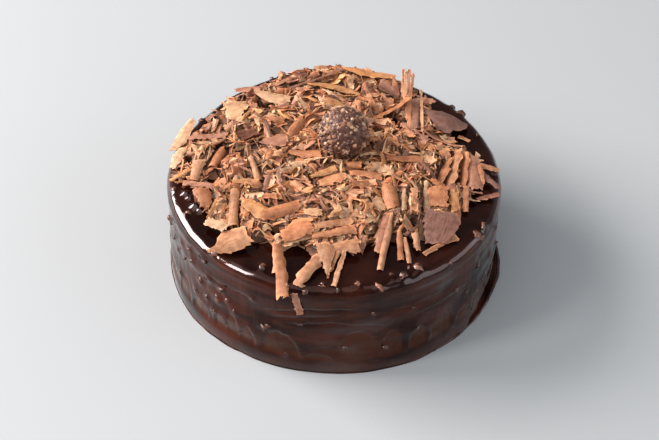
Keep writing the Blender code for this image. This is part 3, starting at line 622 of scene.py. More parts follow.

# The large shavings, given one by one: one end and the other as (x, y, height over the cake's top), the width
# at each end, the lean about the length, the arc that the width is rolled over, the arc that the length is
# bent over, and the tint. Millimetres and degrees. A negative arc is a trough. Where the widths are five
# pairs, they are half widths, to the left and the right of the length, at even steps along it.
LARGE_SHAVINGS = {
    "trough over the edge": ((-32, -68, 7), (-27, -101, -3), (7, 9), 0, 100, 12, "warm"),
    "strip front": ((-7, -76, 5), (-20, -96, 1), (7, 6), -8, 60, 20, "milk"),
    "flake front left": (
        (-71, -73, 2.2), (-48, -63.5, 6.5),
        ((0.5, 0.5), (3, 4), (13, 5), (12, 5.5), (8, 5)), 12, 35, -20, "milk",
    ),
    "pale flake left": (
        (-74, -49.5, 4), (-61, -55.5, 6), ((4, 2), (4, 3), (3, 3), (3, 3.6), (3, 3)), 5, 30, 10, "pale",
    ),
    "roll left": ((-58, -27, 9), (-58, -53, 5), (6, 10), 0, 160, 8, "milk"),
    "roll middle": (
        (-41, -46, 8), (-20, -38, 9.5),
        ((4.5, 4.5), (5.5, 5.5), (6, 6), (6.5, 6), (4.5, 4)), 0, 120, 0, "warm",
    ),
    "leaf left": (
        (-53.5, -38, 9), (-37, -46.5, 9),
        ((1, 1), (5.5, 3), (5.5, 4.5), (4.5, 6), (3.5, 5)), 10, 50, 15, "gold",
    ),
    "square left": (
        (-79, -24.5, 8), (-73.5, -38, 4.5),
        ((2, 4), (6, 4), (5.2, 3.5), (4, 2.8), (0.5, 1)), 0, 40, 20, "warm",
    ),
    "stick left": ((-89, -17, 5), (-71, -22, 7), (4, 4.5), 0, 30, 10, "pink"),
    "plate edge left": ((-81, 0, 8), (-83, -13, 4), (7, 5), 0, 40, 0, "milk"),
    "block front": (
        (-1.5, -70.5, 5), (15.5, -68.5, 6), ((2, 4), (5, 4), (6, 3.5), (7, 3.2), (5, 3)), 22, 75, 0, "milk",
    ),
    "bar front low": ((-12, -63, 8), (13, -56, 8), (4, 6), 10, 40, 8, "warm"),
    "bar front high": ((-11, -56, 9), (11, -50, 9), (4, 5), 10, 50, -8, "milk"),
    "wedge front": (
        (-28, -68, 4.5), (-9, -55.5, 8), ((0.5, 1), (2.5, 2), (3.5, 3), (4.5, 4), (4, 2)), 20, 40, 0, "pale",
    ),
    "flake front middle": (
        (-29, -62, 7), (-11, -57, 9.5), ((3, 6), (6, 6), (10.5, 5), (9, 4), (6, 3)), 8, 40, 0, "warm",
    ),
    "shard front": (
        (-4.5, -67.5, 8), (-2.3, -90, 1.2),
        ((3, 6), (5.4, 4.9), (3.6, 3.5), (1.6, 2.2), (0.3, 0.4)), 0, 30, 15, "milk",
    ),
    "splinter front": ((7, -72, 6), (1, -96, 0.8), (2.4, 2.8), 0, 40, 0, "milk"),
    "splinter front short": ((3, -72, 5), (-1, -85, 1), (3, 1.4), 0, 30, 0, "milk"),
    "quill long": ((33, -43, 9), (27, -82, 1), (4.5, 6), 0, 140, 4, "milk"),
    "flake by quill": (
        (31, -42.5, 9), (26.5, -70, 3), ((3, 2), (3, 4), (2.8, 4), (2.6, 4), (2, 3)), 0, 40, 20, "pink",
    ),
    "quill middle": ((38, -55, 7), (39, -74, 1), (3.5, 4.5), 0, 120, 0, "warm"),
    "quill thin": ((41, -60, 6), (44, -76, 0.8), (2, 3.2), 0, 100, 0, "milk"),
    "quill small": ((47, -56, 6), (49, -67, 2.5), (4, 3.5), 0, 80, 0, "milk"),
    "plate right": (
        (60, -39, 8.3), (56.5, -60.5, 2.2), ((12, 7), (15.5, 7), (14, 6), (12, 5), (9, 3)), 4, 16, 6, "grey",
    ),
    "strip right": ((52, -69, 1.5), (71, -54, 2.5), (2, 5), 25, 20, 0, "milk"),
    "arch right": (
        (31, -20.5, 11.5), (35, -37, 8),
        ((2.5, 2.5), (4.2, 5.3), (5.5, 5.6), (6, 5.4), (4.5, 5)), 0, 105, 20, "warm",
    ),
    "chip under the arch": (
        (24, -31, 9.5), (29, -39, 7), ((2, 2), (3, 3), (3.5, 3.5), (3, 3), (1, 2)), 0, 50, 0, "pale",
    ),
    "edge of the arch": ((41, -24, 11), (41, -38, 7), (2.4, 3.4), 0, 60, 0, "pale"),
    "ribbed right": ((61, -21, 10.5), (60, -34, 6.5), (11, 12), 0, 20, 0, "warm"),
    "stick light": ((54, -16, 10.5), (54, -38, 6), (3, 3.5), 0, 60, 0, "pale"),
    "chip yellow": ((70, -22, 8), (71, -35, 4), (6, 5), 0, 30, 0, "gold"),
    "stick right": ((78, -16, 7), (77, -33, 2), (3.5, 3), 0, 40, 0, "warm"),
    "plate far right": (
        (81, 9, 9), (84, -14, 3), ((3, 3), (4, 4.5), (4.5, 5), (5.5, 4.5), (4, 3)), 0, 50, 14, "pink",
    ),
    "sheet far right": (
        (74, 14, 10.5), (67, -15, 5), ((2, 2), (4, 3), (3, 4), (4.5, 4), (3, 2)), 34, 50, 18, "milk",
    ),
    "sheet far right low": (
        (78, 11, 10), (76, -13, 4), ((2, 1), (3, 2.5), (2.2, 3), (3.4, 3), (2, 2.5)), 34, 60, -14, "warm",
    ),
    "sheet far right near": (
        (69, 6, 10), (62, -13, 7), ((1.5, 2), (2.4, 3), (3.4, 2.6), (2.8, 3.4), (2, 1.5)), 30, 50, 16, "warm",
    ),
    "sheet far right edge": (
        (86, 2, 8), (88, -10, 3.5), ((0.5, 1), (1.6, 1.4), (2, 1.4), (1.2, 2), (1, 0.5)), 20, 50, 10, "warm",
    ),
    "tatter right high": ((86, 5, 6), (98, 1, 5), (5, 3), 0, 50, 0, "milk"),
    "tatter right low": ((87, -2, 5), (98, -12, 2.5), (5, 3), 0, 40, 0, "grey"),
    "strip far right": ((84, -21, 1.2), (97, -18, 3), (3, 3.5), 0, 20, 0, "dull"),
    "arc right": ((51, 31, 10), (77, 17, 7), (2, 5), -40, 30, -40, "pink"),
    "plate back right": (
        (54, 51, 8.5), (79, 40, 4.5), ((1.5, 1), (4, 6), (7, 12), (8.5, 10), (7.5, 4)), -6, 45, 22, "grey",
    ),
    "chip on the glaze": ((75, 36, 0.8), (82, 32, 0.8), (3, 2), 0, 0, 0, "milk"),
    "stick back": ((43, 62, 11), (46, 35, 6), (4, 4.5), 0, 90, 0, "warm"),
    "plate back dark": ((49, 60, 10), (49, 35, 7), (4.5, 4.5), 0, 30, 0, "dull"),
    "stick white": ((52, 65, 13), (53, 34, 6), (1.4, 2), 0, 30, 0, "pale"),
    "bar back": ((51, 59, 9), (60, 60, 9), (5, 5), 0, 30, 0, "pink"),
    "bar cross": ((23, 42, 8), (44, 57, 12), (4, 6), -30, 50, -20, "warm"),
    "spike back left": ((35, 77, 14), (38, 66, 7), (2, 3.5), 0, 40, 0, "warm"),
    "spike back middle": ((41, 81, 16), (42, 66, 7), (1.6, 3.5), 0, 40, 0, "milk"),
    "spike back right": ((45, 81, 16), (42, 64, 7), (2.2, 4), 0, 40, 0, "milk"),
    "spike back pale": ((43, 80, 15.5), (42.5, 65, 7), (1.4, 2.6), 0, 40, 0, "pale"),
    "spike back far right": ((47.5, 79, 14.5), (45, 63, 7), (1.6, 3.2), 0, 40, 0, "warm"),
    "roll back": ((26, 73, 11), (38, 64, 8), (10, 9), 0, -140, 0, "dull"),
    "ridge back": (
        (4, 86, 11), (36.5, 81, 10.5), ((2, 1), (5, 4.3), (4.7, 4), (4, 3.6), (2, 3.5)), -15, 40, -10, "gold",
    ),
    "spear back": ((-31, 70, 7), (4, 86, 11), (2.5, 4.5), -30, 40, 0, "dull"),
    "leaf back": (
        (-17.5, 72.5, 9.5), (14, 63.5, 10),
        ((2, 0.5), (9, 2), (7.5, 2), (4.6, 2), (1.2, 1)), -8, 40, 8, "gold",
    ),
    "sheet back left": (
        (-50, 63, 9), (-28, 56.5, 10), ((4, 2), (5.7, 5), (6.8, 6.8), (6, 6.7), (4, 5)), -10, 90, 10, "pale",
    ),
    "flake back left": ((-63, 69, 6), (-48, 70, 7), (3, 6), 0, 40, 0, "pink"),
    "plate back left": (
        (-67.5, 47, 7.5), (-54, 50.3, 9), ((4, 7), (6.4, 10), (7, 9), (7.2, 5), (6, 3)), 0, 40, 10, "pale",
    ),
    "strip left": ((-89, 22, 6), (-65, 23, 9), (4, 5), 0, 90, 0, "pink"),
    "plate left": (
        (-96, 13, 4), (-87, 39, 6), ((3, 2), (4.5, 3.5), (4.5, 4), (4, 3), (2.5, 3)), -10, 30, 8, "pale",
    ),
    "plate left low": (
        (-96.5, -3, 3.5), (-91, 13, 6), ((1.5, 1.5), (3, 2.5), (3.5, 3), (3, 3), (2, 2)), -8, 30, 8, "pale",
    ),
    "stick left far": ((-97, -13, 2.5), (-86, -5.5, 5.5), (2.6, 3.2), 0, 40, 0, "gold"),
    "curl left": ((-73, -4, 7), (-67, 10, 8), (7, 9), 0, 180, 0, "warm"),
    "curl middle": ((-57, 20, 9), (-47, 26, 9), (10, 9), 0, -150, 0, "dull"),
    "flat middle": (
        (-45.5, 15.2, 9.5), (-28.5, 18, 11),
        ((0.5, 0.5), (2.4, 2.7), (4.2, 4.5), (6.7, 6.6), (6, 4)), 0, 20, 0, "pink",
    ),
    "steep middle": ((-27, 23, 8), (-20, 36, 12), (8, 5), 30, 40, 0, "warm"),
    "flake middle": (
        (-27, 6, 10), (-8, 7, 10), ((3, 1), (3.5, 2.5), (4, 4), (4.5, 3), (3.5, 3)), 0, 60, 0, "warm",
    ),
    "tube middle": ((-50, 2, 10), (-44, -18, 9), (4.5, 6.5), 0, 150, 12, "milk"),
    "strip middle": (
        (-14, -15, 10), (1, -8, 11.5), ((1.5, 1), (1.5, 1.5), (2, 2), (3, 2.5), (2.5, 2)), 10, 30, 0, "gold",
    ),
    "plate middle": (
        (-9, -20, 10), (7, -14, 11), ((2.5, 3), (3.5, 3.5), (4.5, 3.5), (4, 3), (3, 2)), 0, 30, 0, "milk",
    ),
    "white flake": (
        (-17, -44, 9.5), (-7, -44, 9.5), ((2, 2.5), (3, 3), (3, 3.5), (2.5, 3), (1.5, 2.5)), 0, 30, 0, "pale",
    ),
    "bar right middle": ((31, 3, 11), (52, 3, 11), (4, 5), 0, 50, 6, "warm"),
    "flat right middle": ((9, -10, 10), (28, -12, 10), (5, 6), 0, 30, 8, "warm"),
}
LARGE_THICKNESS = 0.6 * MM
STATIONS = 5  # places along a shaving at which its half widths are given
NICKS = (0.05, 0.20)  # depth of the common and of the rare nicks in its edges, as shares of its width
WIDEST_TORN = 7 * MM  # past this width, the nicks get no deeper
THINNED = 0.45  # share of its thickness that it loses at its edges
WAVES = 0.014  # height of the waves along it, against its length
LEAST_BEND = 0.02  # a flat shaving is bent over this arc, in radians
TEAR = 0.16  # how uneven the edges of a large shaving are, ...
SLANT = 0.2  # ... and how far its ends are broken off aslant, ...
MEASURED_TEAR = 0.0727  # ... and both for those whose half widths are given
MEASURED_SLANT = 0.07


def blank_sheet(columns, rows):
    """A flat closed sheet one unit long, wide and thick, to be cut and bent: its points, faces and edges."""
    bm = bmesh.new()
    bmesh.ops.create_grid(bm, x_segments=columns, y_segments=rows, size=0.5)
    bmesh.ops.solidify(bm, geom=bm.faces, thickness=1)
    bmesh.ops.recalc_face_normals(bm, faces=bm.faces)
    points = np.array([corner.co for corner in bm.verts])
    points[:, 2] -= points[:, 2].mean()
    faces = np.array([[corner.index for corner in face.verts] for face in bm.faces])
    edges = np.array([[corner.index for corner in edge.verts] for edge in bm.edges])
    bm.free()
    return {"points": points, "faces": faces, "edges": edges, "columns": columns, "rows": rows}


def read_along(values, share):
    """Each row's value at these shares of its length, read between even stations."""
    place = share * (values.shape[1] - 1)
    lower = np.minimum(place.astype(int), values.shape[1] - 2)
    part = place - lower
    return values[:, lower] * (1 - part) + values[:, lower + 1] * part


def torn(rng, tail, head, share):
    """Half widths of one edge of each shaving, from its tail to its head, broken off by a share of them."""
    steps = np.linspace(0, 1, STATIONS)
    return (tail + (head - tail) * steps) / 2 * (1 + share * rng.uniform(-1, 1, (len(tail), STATIONS)))


def cut_and_bent(sheet, rng, length, far, near, thickness, arc, bow, twist, slant):
    """Blank sheets as shavings, one for each row. The length lies along X, and far is the edge at +Y."""
    x, y, z = sheet["points"].T
    count = len(length)
    mean = (far + near).mean(axis=1, keepdims=True)
    # Its outline: each edge by its half widths, and each end broken off aslant and unevenly.
    across = 2 * y * np.where(y > 0, read_along(far, x + 0.5), read_along(near, x + 0.5))
    ends = []
    for _ in range(2):
        aslant = 2 * y * rng.normal(0, 1, (count, 1)) * slant
        ends.append(aslant + read_along(rng.uniform(-0.15, 0.15, (count, STATIONS)), y + 0.5))
    along = x * length + np.sign(x) * (2 * x) ** 2 * 0.5 * np.minimum(mean, length) * np.where(x > 0, *ends)
    # Nicks around the outline.
    outer = np.maximum(np.abs(2 * x), np.abs(2 * y)) ** 8
    column = np.rint((x + 0.5) * sheet["columns"]).astype(int)
    row = np.rint((y + 0.5) * sheet["rows"]).astype(int)
    nick = rng.uniform(-1, 1, (count, sheet["columns"] + 1, sheet["rows"] + 1))[:, column, row]
    ragged = (NICKS[0] * nick + NICKS[1] * nick**5) * outer * np.minimum(mean, WIDEST_TORN)
    across, along = across + ragged, along - ragged
    # Its thickness and waves.
    phase = rng.uniform(0, math.tau, (3, count, 1))
    wave = 0.7 * np.sin(5.2 * x + phase[0]) + 0.5 * np.sin(6 * y + 3.1 * x + phase[1])
    wave += 0.4 * np.sin(11 * x + phase[2])
    deep = z * thickness * (1 - THINNED * outer) + WAVES * length * wave
    # Rolled over its width, twisted, and bent over its length.
    bend = np.where(np.abs(arc) > LEAST_BEND, arc, LEAST_BEND)
    roll, turn = mean / bend, across / mean * bend
    side, up = (roll + deep) * np.sin(turn), (roll + deep) * np.cos(turn) - roll
    spin = twist * x
    side, up = side * np.cos(spin) - up * np.sin(spin), side * np.sin(spin) + up * np.cos(spin)
    bend = np.where(np.abs(bow) > LEAST_BEND, bow, LEAST_BEND)
    roll, turn = length / bend, along / length * bend
    shaped = np.stack([(roll + up) * np.sin(turn), side, (roll + up) * np.cos(turn) - roll], axis=2)
    shaped[:, :, 2] -= shaped[:, :, 2].mean(axis=1, keepdims=True)
    return shaped


def rotations(angles, first, second):
    """One matrix for each angle, which turns the first axis towards the second."""
    matrices = np.tile(np.eye(3), (len(angles), 1, 1))
    matrices[:, first, first] = matrices[:, second, second] = np.cos(angles)
    matrices[:, second, first] = np.sin(angles)
    matrices[:, first, second] = -np.sin(angles)
    return matrices


def turned_by(heading, pitch, lean):
    """One matrix for each shaving: it leans about its length, its head is raised, and it turns about Z."""
    return rotations(heading, 0, 1) @ rotations(pitch, 0, 2) @ rotations(lean, 1, 2)


def carried(bodies, turn, place):
    return np.einsum("nij,nkj->nki", turn, bodies) + place[:, None]


def shavings_piece(name, sheet, bodies, tints, material, replaced="shavings"):
    """One piece of all shavings of a kind. Each has its tint, a painted highlight along its thin edges, and
    painted
    shade across it: darker along one side of its length than along the other."""
    count, size = bodies.shape[:2]
    faces = (sheet["faces"][None] + np.arange(count)[:, None, None] * size).reshape(-1, 4)
    mesh = bpy.data.meshes.new(name)
    mesh.from_pydata(bodies.reshape(-1, 3).tolist(), [], faces.tolist())
    flat = sheet["points"][:, :2]
    # painted highlight: the tint is lighter along each shaving's thin edges
    painted_edge_light = 1 + 0.42 * (np.abs(flat).max(axis=1) > 0.49)
    # painted shade: each shaving is darker along one side of its length and lighter along the other
    fade = 1 + 0.5 * np.random.default_rng(count).uniform(-1, 1, (count, 1)) * flat[:, 1]
    colours = np.ones((count, size, 4))
    colours[:, :, :3] = np.minimum(tints[:, None] * (painted_edge_light * fade)[:, :, None], 0.9)
    mesh.attributes.new("tint", "FLOAT_COLOR", "POINT").data.foreach_set("color", colours.ravel())
    offset = np.stack([3.1 * np.arange(count) % 17, 1.7 * np.arange(count) % 23], axis=1)
    flat = (flat[None] + offset[:, None]).reshape(-1, 2)
    mesh.uv_layers.new(name="UVMap").data.foreach_set("uv", flat[faces.ravel()].ravel())
    mesh.shade_smooth()
    mesh.set_sharp_from_angle(angle=math.radians(50))
    placed(name, mesh, material, replaced)


def shaving_finish():
    """Dull milk chocolate, a little browner in clouds. The blade left fine lines along each shaving."""
    material, tree, shader = finish("Milk chocolate", Specular_IOR_Level=0.35)
    place = on_object(tree)
    flat = fit(tree, "ShaderNodeTexCoord", {}, out=2)
    tint = fit(tree, "ShaderNodeAttribute", {"attribute_name": "tint"})
    lines = grain(tree, stretched(tree, flat, (1.2, 26.0, 1.0)), 1.0, 2.0)
    clouds = grain(tree, place, 260.0)
    crumbs = grain(tree, place, 1500.0, 2.0)
    browner = stretched(tree, tint, (0.58, 0.45, 0.39))
    share = (clouds * 2.8 + lines * 1.7 + crumbs * 1.3).rising(2.47, 3.47)
    feed(tree, shader, {
        "Base Color": blend(tree, share, tint, browner),
        "Roughness": 0.42 + 0.22 * clouds,
        "Normal": relief(tree, lines * 0.55 + crumbs * 0.45 + clouds * 0.8, 0.9, 0.5 * MM),
    })
    return material


def tinted(rng, names, spread):
    """Named tints, each a little lighter or darker, and a little warmer or cooler."""
    shade = 1 + rng.uniform(-spread, spread, (len(names), 1))
    warmth = rng.uniform(-0.05, 0.05, (len(names), 1)) * np.array([1, 0, -1])
    return np.array([TINTS[name] for name in names]) * shade * (1 + warmth)


def large_shavings(sheet):
    rng = np.random.default_rng(5)
    tails, heads, widths, leans, arcs, bows, names = zip(*LARGE_SHAVINGS.values())
    tails, heads = np.array(tails) * MM, np.array(heads) * MM
    run = heads - tails
    level = np.hypot(run[:, 0], run[:, 1])
    broken = rng.uniform(-1, 1, (len(tails), 2, STATIONS))
    halves, slants = [], []
    for width, uneven in zip(widths, broken):
        measured = len(width) == STATIONS
        half = np.array(width).T if measured else np.linspace(width[0] / 2, width[1] / 2, STATIONS)
        halves.append(half * (1 + (MEASURED_TEAR if measured else TEAR) * uneven) * MM)
        slants.append(MEASURED_SLANT if measured else SLANT)
    halves = np.array(halves)
    bodies = cut_and_bent(
        sheet, rng, np.linalg.norm(run, axis=1)[:, None], halves[:, 0], halves[:, 1], LARGE_THICKNESS,
        np.radians(arcs)[:, None], np.radians(bows)[:, None], rng.uniform(-0.25, 0.25, (len(tails), 1)),
        np.array(slants)[:, None],
    )
    turn = turned_by(np.arctan2(run[:, 1], run[:, 0]), np.arctan2(run[:, 2], level), np.radians(leans))
    place = (heads + tails) / 2 + np.array([0, 0, CAKE_HEIGHT])
    return carried(bodies, turn, place), tinted(rng, names, 0.07)


large_sheet = blank_sheet(14, 8)
shaved = shaving_finish()
large, large_tints = large_shavings(large_sheet)
shavings_piece("large_shavings", large_sheet, large, large_tints, shaved)

# The stuck strip ---------------------------------------------------------------------------------
# One small shaving slid over the edge and stuck to the side, just under it at the front. It lies flat
# on the glaze, a little aslant.

STRIP_AT = math.radians(-101)
STRIP_HEIGHT = 56 * MM
STRIP_LENGTH = 16 * MM
STRIP_WIDTH = 4.2 * MM
STRIP_SLANT = math.radians(14)
STRIP_PROUD = 0.5 * MM


def stuck_strip(sheet):
    rng = np.random.default_rng(9)
    half = np.full((1, STATIONS), STRIP_WIDTH / 2)
    body = cut_and_bent(
        sheet, rng, np.array([[STRIP_LENGTH]]), half * (1, 1.05, 0.9, 1, 0.8), half, LARGE_THICKNESS,
        arc=np.array([[0.25]]), bow=np.array([[0.1]]), twist=np.array([[0.0]]), slant=0.15,
    )
    out = at_angle(STRIP_AT, 1, 0)
    along = Vector((-out.y, out.x, 0)) * math.sin(STRIP_SLANT) - Vector((0, 0, math.cos(STRIP_SLANT)))
    turn = np.array([along, out.cross(along), out]).T[None]
    radius = side_radius(STRIP_AT, STRIP_HEIGHT) + STRIP_PROUD
    return carried(body, turn, np.array([at_angle(STRIP_AT, radius, STRIP_HEIGHT)]))


strip, strip_tint = stuck_strip(large_sheet), np.array([TINTS["pink"]])
shavings_piece("stuck_strip", large_sheet, strip, strip_tint, shaved, "cake")

# The heap's core ---------------------------------------------------------------------------------
# Under the shavings that show, the heap is a packed mass of crumbs and broken flakes. It is a low mound
# with an uneven outline, and its relief is as coarse as the crumbs.

# Distance of the heap's edge from the axis: angle in degrees, then millimetres.
HEAP_REACH = (
    (-174, 94), (-166, 84), (-151, 82), (-141, 79), (-130, 75), (-119, 72), (-105, 70), (-92, 67), (-80, 69),
    (-66, 63), (-55, 66), (-47, 73), (-29, 78), (-15, 82), (-5, 86), (3, 86), (9, 84), (18, 79), (27, 75),
    (36, 79), (47, 83), (59, 87), (72, 94), (88, 97), (104, 94), (118, 91), (130, 91), (145, 88), (157, 89),
    (168, 92), (180, 94),
)
HEAP_HEIGHT = 8 * MM
HEAP_EDGE = 0.8 * MM
HEAP_BUMPS = ((11 * MM, 2.2 * MM), (5 * MM, 2.0 * MM))  # how wide, and how high
CORE_DEPTH = 2.6 * MM  # how far the core lies under the heap's surface
CORE_RELIEF = 1.1 * MM
CORE_SUNK = 0.3 * MM  # how deep the core's flat underside lies in the glaze
CORE_RINGS = 90
CORE_STEPS = 420
BARE_SPOTS = (  # x, y and radius in millimetres
    (-43, 54, 6), (-71, -11, 6), (-82, -22, 5), (-33, -56, 4), (-53, -14, 3), (-88, 4, 4), (34, 48, 6),
    (41, 39, 5), (27, 31, 4), (66, 60, 6), (59, 70, 5), (-20, -66, 4), (22, -66, 4), (46, -45, 3),
    (50, 12, 3), (-3, -32, 2.5), (70, -8, 3),
)
BARE_SHARE = 0.6  # within this share of a bare spot's radius, nothing stands higher than the next
BARE_HEIGHT = 1 * MM
PRALINE_ROOM = 0.8 * MM  # left free around the praline for its chips
ROOM_UNDER = 0.3 * MM  # left free between the heap and what lies on it
# painted shade: the core's crumbs are painted darker than the shavings over them
CRUMBS_IN_PAINTED_SHADE = (0.135, 0.055, 0.033)
CELL = 1 * MM
HALF_SPAN = 106 * MM


def heap_outline(angle):
    """Distance from the axis to the edge of the heap."""
    angles, reaches = zip(*HEAP_REACH)
    reach = np.interp(math.degrees(angle), angles, reaches, period=360)
    return (reach + 1.5 * noise.noise(at_angle(angle, 6, 0))) * MM


def heap_height(x, y):
    """Height of the heap's surface over the cake's top, without its loose shavings."""
    share = math.hypot(x, y) / heap_outline(math.atan2(y, x))
    if share >= 1:
        return 0
    height = HEAP_HEIGHT + sum(high * noise.noise(Vector((x, y, wide)) / wide) for wide, high in HEAP_BUMPS)
    height = HEAP_EDGE + height * (1 - share**12)
    for bare_x, bare_y, radius in BARE_SPOTS:
        away = math.hypot(x - bare_x * MM, y - bare_y * MM) / (radius * MM)
        height *= eased(away - BARE_SHARE)
    return height


def cells(points):
    """The map's row and column under each point."""
    index = np.clip(((points[..., :2] + HALF_SPAN) / CELL).astype(int), 0, HEAP_MAP.shape[0] - 1)
    return index[..., 0], index[..., 1]


def spots(sheet, bodies):
    """Points spread over each shaving: its corners, and the middles of its edges and faces."""
    middles = [bodies[:, sheet[part]].mean(axis=2) for part in ("edges", "faces")]
    return np.concatenate([bodies, *middles], axis=1)


# Maps of the heap in square cells, as heights over the cake's top: its surface, and its ceiling, which is
# the underside of the large shavings and of the praline. Nothing loose may stand higher than the ceiling.
side = int(2 * HALF_SPAN / CELL)
middles = (np.arange(side) + 0.5) * CELL - HALF_SPAN
HEAP_MAP = np.array([[heap_height(x, y) for y in middles] for x in middles])
ceiling = np.full(HEAP_MAP.shape, 1.0)
under_large = spots(large_sheet, large)
np.minimum.at(ceiling, cells(under_large), under_large[..., 2] - CAKE_HEIGHT)
grid_x, grid_y = np.meshgrid(middles, middles, indexing="ij")
away = np.hypot(grid_x - PRALINE_CENTRE.x, grid_y - PRALINE_CENTRE.y)
ball = PRALINE_RADIUS + PRALINE_ROOM
under_ball = PRALINE_CENTRE.z - CAKE_HEIGHT - np.sqrt(np.maximum(ball**2 - away**2, 0))
ceiling = np.where(away < ball, np.minimum(ceiling, under_ball), ceiling)
for bare_x, bare_y, radius in BARE_SPOTS:
    bare = np.hypot(grid_x - bare_x * MM, grid_y - bare_y * MM) < BARE_SHARE * radius * MM
    ceiling = np.where(bare, np.minimum(ceiling, BARE_HEIGHT), ceiling)
HEAP_MAP = np.minimum(HEAP_MAP, np.maximum(ceiling - ROOM_UNDER, 0))


def heap_core():
    """The mound, flat underneath, with its crumbs as relief. It follows the map of the heap's surface."""
    shares = [math.sqrt(ring / CORE_RINGS) for ring in range(CORE_RINGS + 1)]
    bm = turned([(share, 1) for share in shares] + [(1, 0), (0, 0)], CORE_STEPS)
    for corner in bm.verts:
        angle = math.atan2(corner.co.y, corner.co.x)
        upper = corner.co.z > 0.5
        corner.co = at_angle(angle, corner.co.xy.length * heap_outline(angle), CAKE_HEIGHT - CORE_SUNK)
        if upper:
            at = corner.co.xy.to_3d() / MM
            crumb = noise.noise(at / 1.6) + 0.7 * abs(noise.noise(at / 0.9)) + noise.noise(at / 3.2)
            row, column = cells(np.array([corner.co]))
            height = HEAP_MAP[row[0], column[0]] - CORE_DEPTH + CORE_RELIEF * crumb
            corner.co.z += max(height, 0)
    return bm


def core_finish():
    """Crumbs in painted shade: painted dark for the shade under the shavings over them."""
    material, tree, shader = finish("Packed crumbs in painted shade", Specular_IOR_Level=0.3)
    crumbs = grain(tree, on_object(tree), 700.0, 4.0)
    feed(tree, shader, {
        "Base Color": blend(tree, crumbs.rising(0.417, 0.833), TINTS["dark"], CRUMBS_IN_PAINTED_SHADE),
        "Roughness": 0.5 + 0.2 * crumbs,
        "Normal": relief(tree, crumbs, 0.7, 0.8 * MM),
    })
    return material


piece("heap_core", heap_core(), core_finish(), "shavings")

# The loose shavings ------------------------------------------------------------------------------
# The rest of the heap was scattered by hand, and each shaving lies on what fell before it. They are laid
# one by one on a map of the heap: each tips to what is under it, and is left out where it would stand
# higher than the heap or reach into the praline or a large shaving.

# The ground map is what has been laid so far, and beyond the top's edge it falls with the glaze. The roof
# map is the heap's surface, spread outwards, so that shavings may lie over the heap's edge.
ROOF_SPREAD = 5  # cells
ground = np.maximum(HEAP_MAP - CORE_DEPTH, 0)
for place in np.ndindex(ground.shape):
    x, y = grid_x[place], grid_y[place]
    fall = cake_top(math.atan2(y, x), math.hypot(x, y)) - CAKE_HEIGHT
    if fall < 0:
        ground[place] = fall
roof = HEAP_MAP.copy()
for _ in range(ROOF_SPREAD):
    around = np.pad(roof, 1, mode="edge")
    roof = np.max([around[row:row + side, column:column + side] for row, column in np.ndindex(3, 3)], axis=0)
STEEPEST = math.radians(34)  # to which a shaving tips with the ground
SPANNING = 0.35  # weight of the ground under a shaving where it spans a hollow
FREE = 0.15 * MM  # left free under the ceiling
NESTED = 0.2 * MM  # how far a later shaving may settle into one that lies
HELD = 0.8  # share of a shaving that has to stay under the roof
HANDFUL = 30
REACHES = np.array([heap_outline(math.radians(degrees)) for degrees in range(360)])
LOOSE_TINTS = ("pale", "milk", "warm", "gold", "pink", "dull")
LOOSE_SHARES = (0.23, 0.27, 0.20, 0.08, 0.10, 0.12)


def loose_places(rng):
    """Places in the heap for a handful, each the lowest under its surface of four drawn."""
    angle = rng.uniform(0, math.tau, (HANDFUL, 4))
    reach = np.interp(np.degrees(angle), range(360), REACHES, period=360)
    reach = reach * np.sqrt(rng.uniform(0, 1, angle.shape))
    places = np.stack([reach * np.cos(angle), reach * np.sin(angle), 0 * angle], axis=2)
    spot = cells(places)
    lowest = np.argmax(HEAP_MAP[spot] - ground[spot] + rng.uniform(0, 1.5 * MM, angle.shape), axis=1)
    return places[np.arange(HANDFUL), lowest]


def laid(sheet, bodies, places, heading, pitch, lean, sink, over):
    """The handful where it comes to rest, without those that can't lie, and which ones stayed. Each is tipped
    to a plane fitted to the ground under it, then lowered until the sink's share of it is in the ground."""
    points = spots(sheet, bodies)
    level = carried(points, turned_by(heading, 0 * heading, 0 * heading), places)
    under = ground[cells(level)]
    weight = np.ones(under.shape)
    for _ in range(2):
        table = np.stack([np.ones(under.shape), points[..., 0], points[..., 1]], axis=2)
        square = np.einsum("nki,nk,nkj->nij", table, weight, table) + 1e-12 * np.eye(3)
        slopes = np.linalg.solve(square, np.einsum("nki,nk->ni", table, weight * under)[..., None])[..., 0]
        weight = np.where(under > np.einsum("nki,ni->nk", table, slopes), 1.0, SPANNING)
    pitch = pitch + np.clip(np.arctan(slopes[:, 1]), -STEEPEST, STEEPEST)
    lean = lean + np.clip(np.arctan(slopes[:, 2]), -STEEPEST, STEEPEST)
    turn = turned_by(heading, pitch, lean)
    points = carried(points, turn, places)
    spot = cells(points)
    rest = -np.quantile(points[..., 2] - ground[spot], sink, axis=1)
    high = points[..., 2] + rest[:, None]
    stays = (high < ceiling[spot] - FREE).all(axis=1)
    stays &= np.quantile(high - roof[spot], HELD, axis=1) < over
    np.maximum.at(ground, (spot[0][stays], spot[1][stays]), high[stays] - NESTED)
    places = places + np.stack([0 * rest, 0 * rest, rest + CAKE_HEIGHT], axis=1)
    return carried(bodies, turn, places)[stays], stays


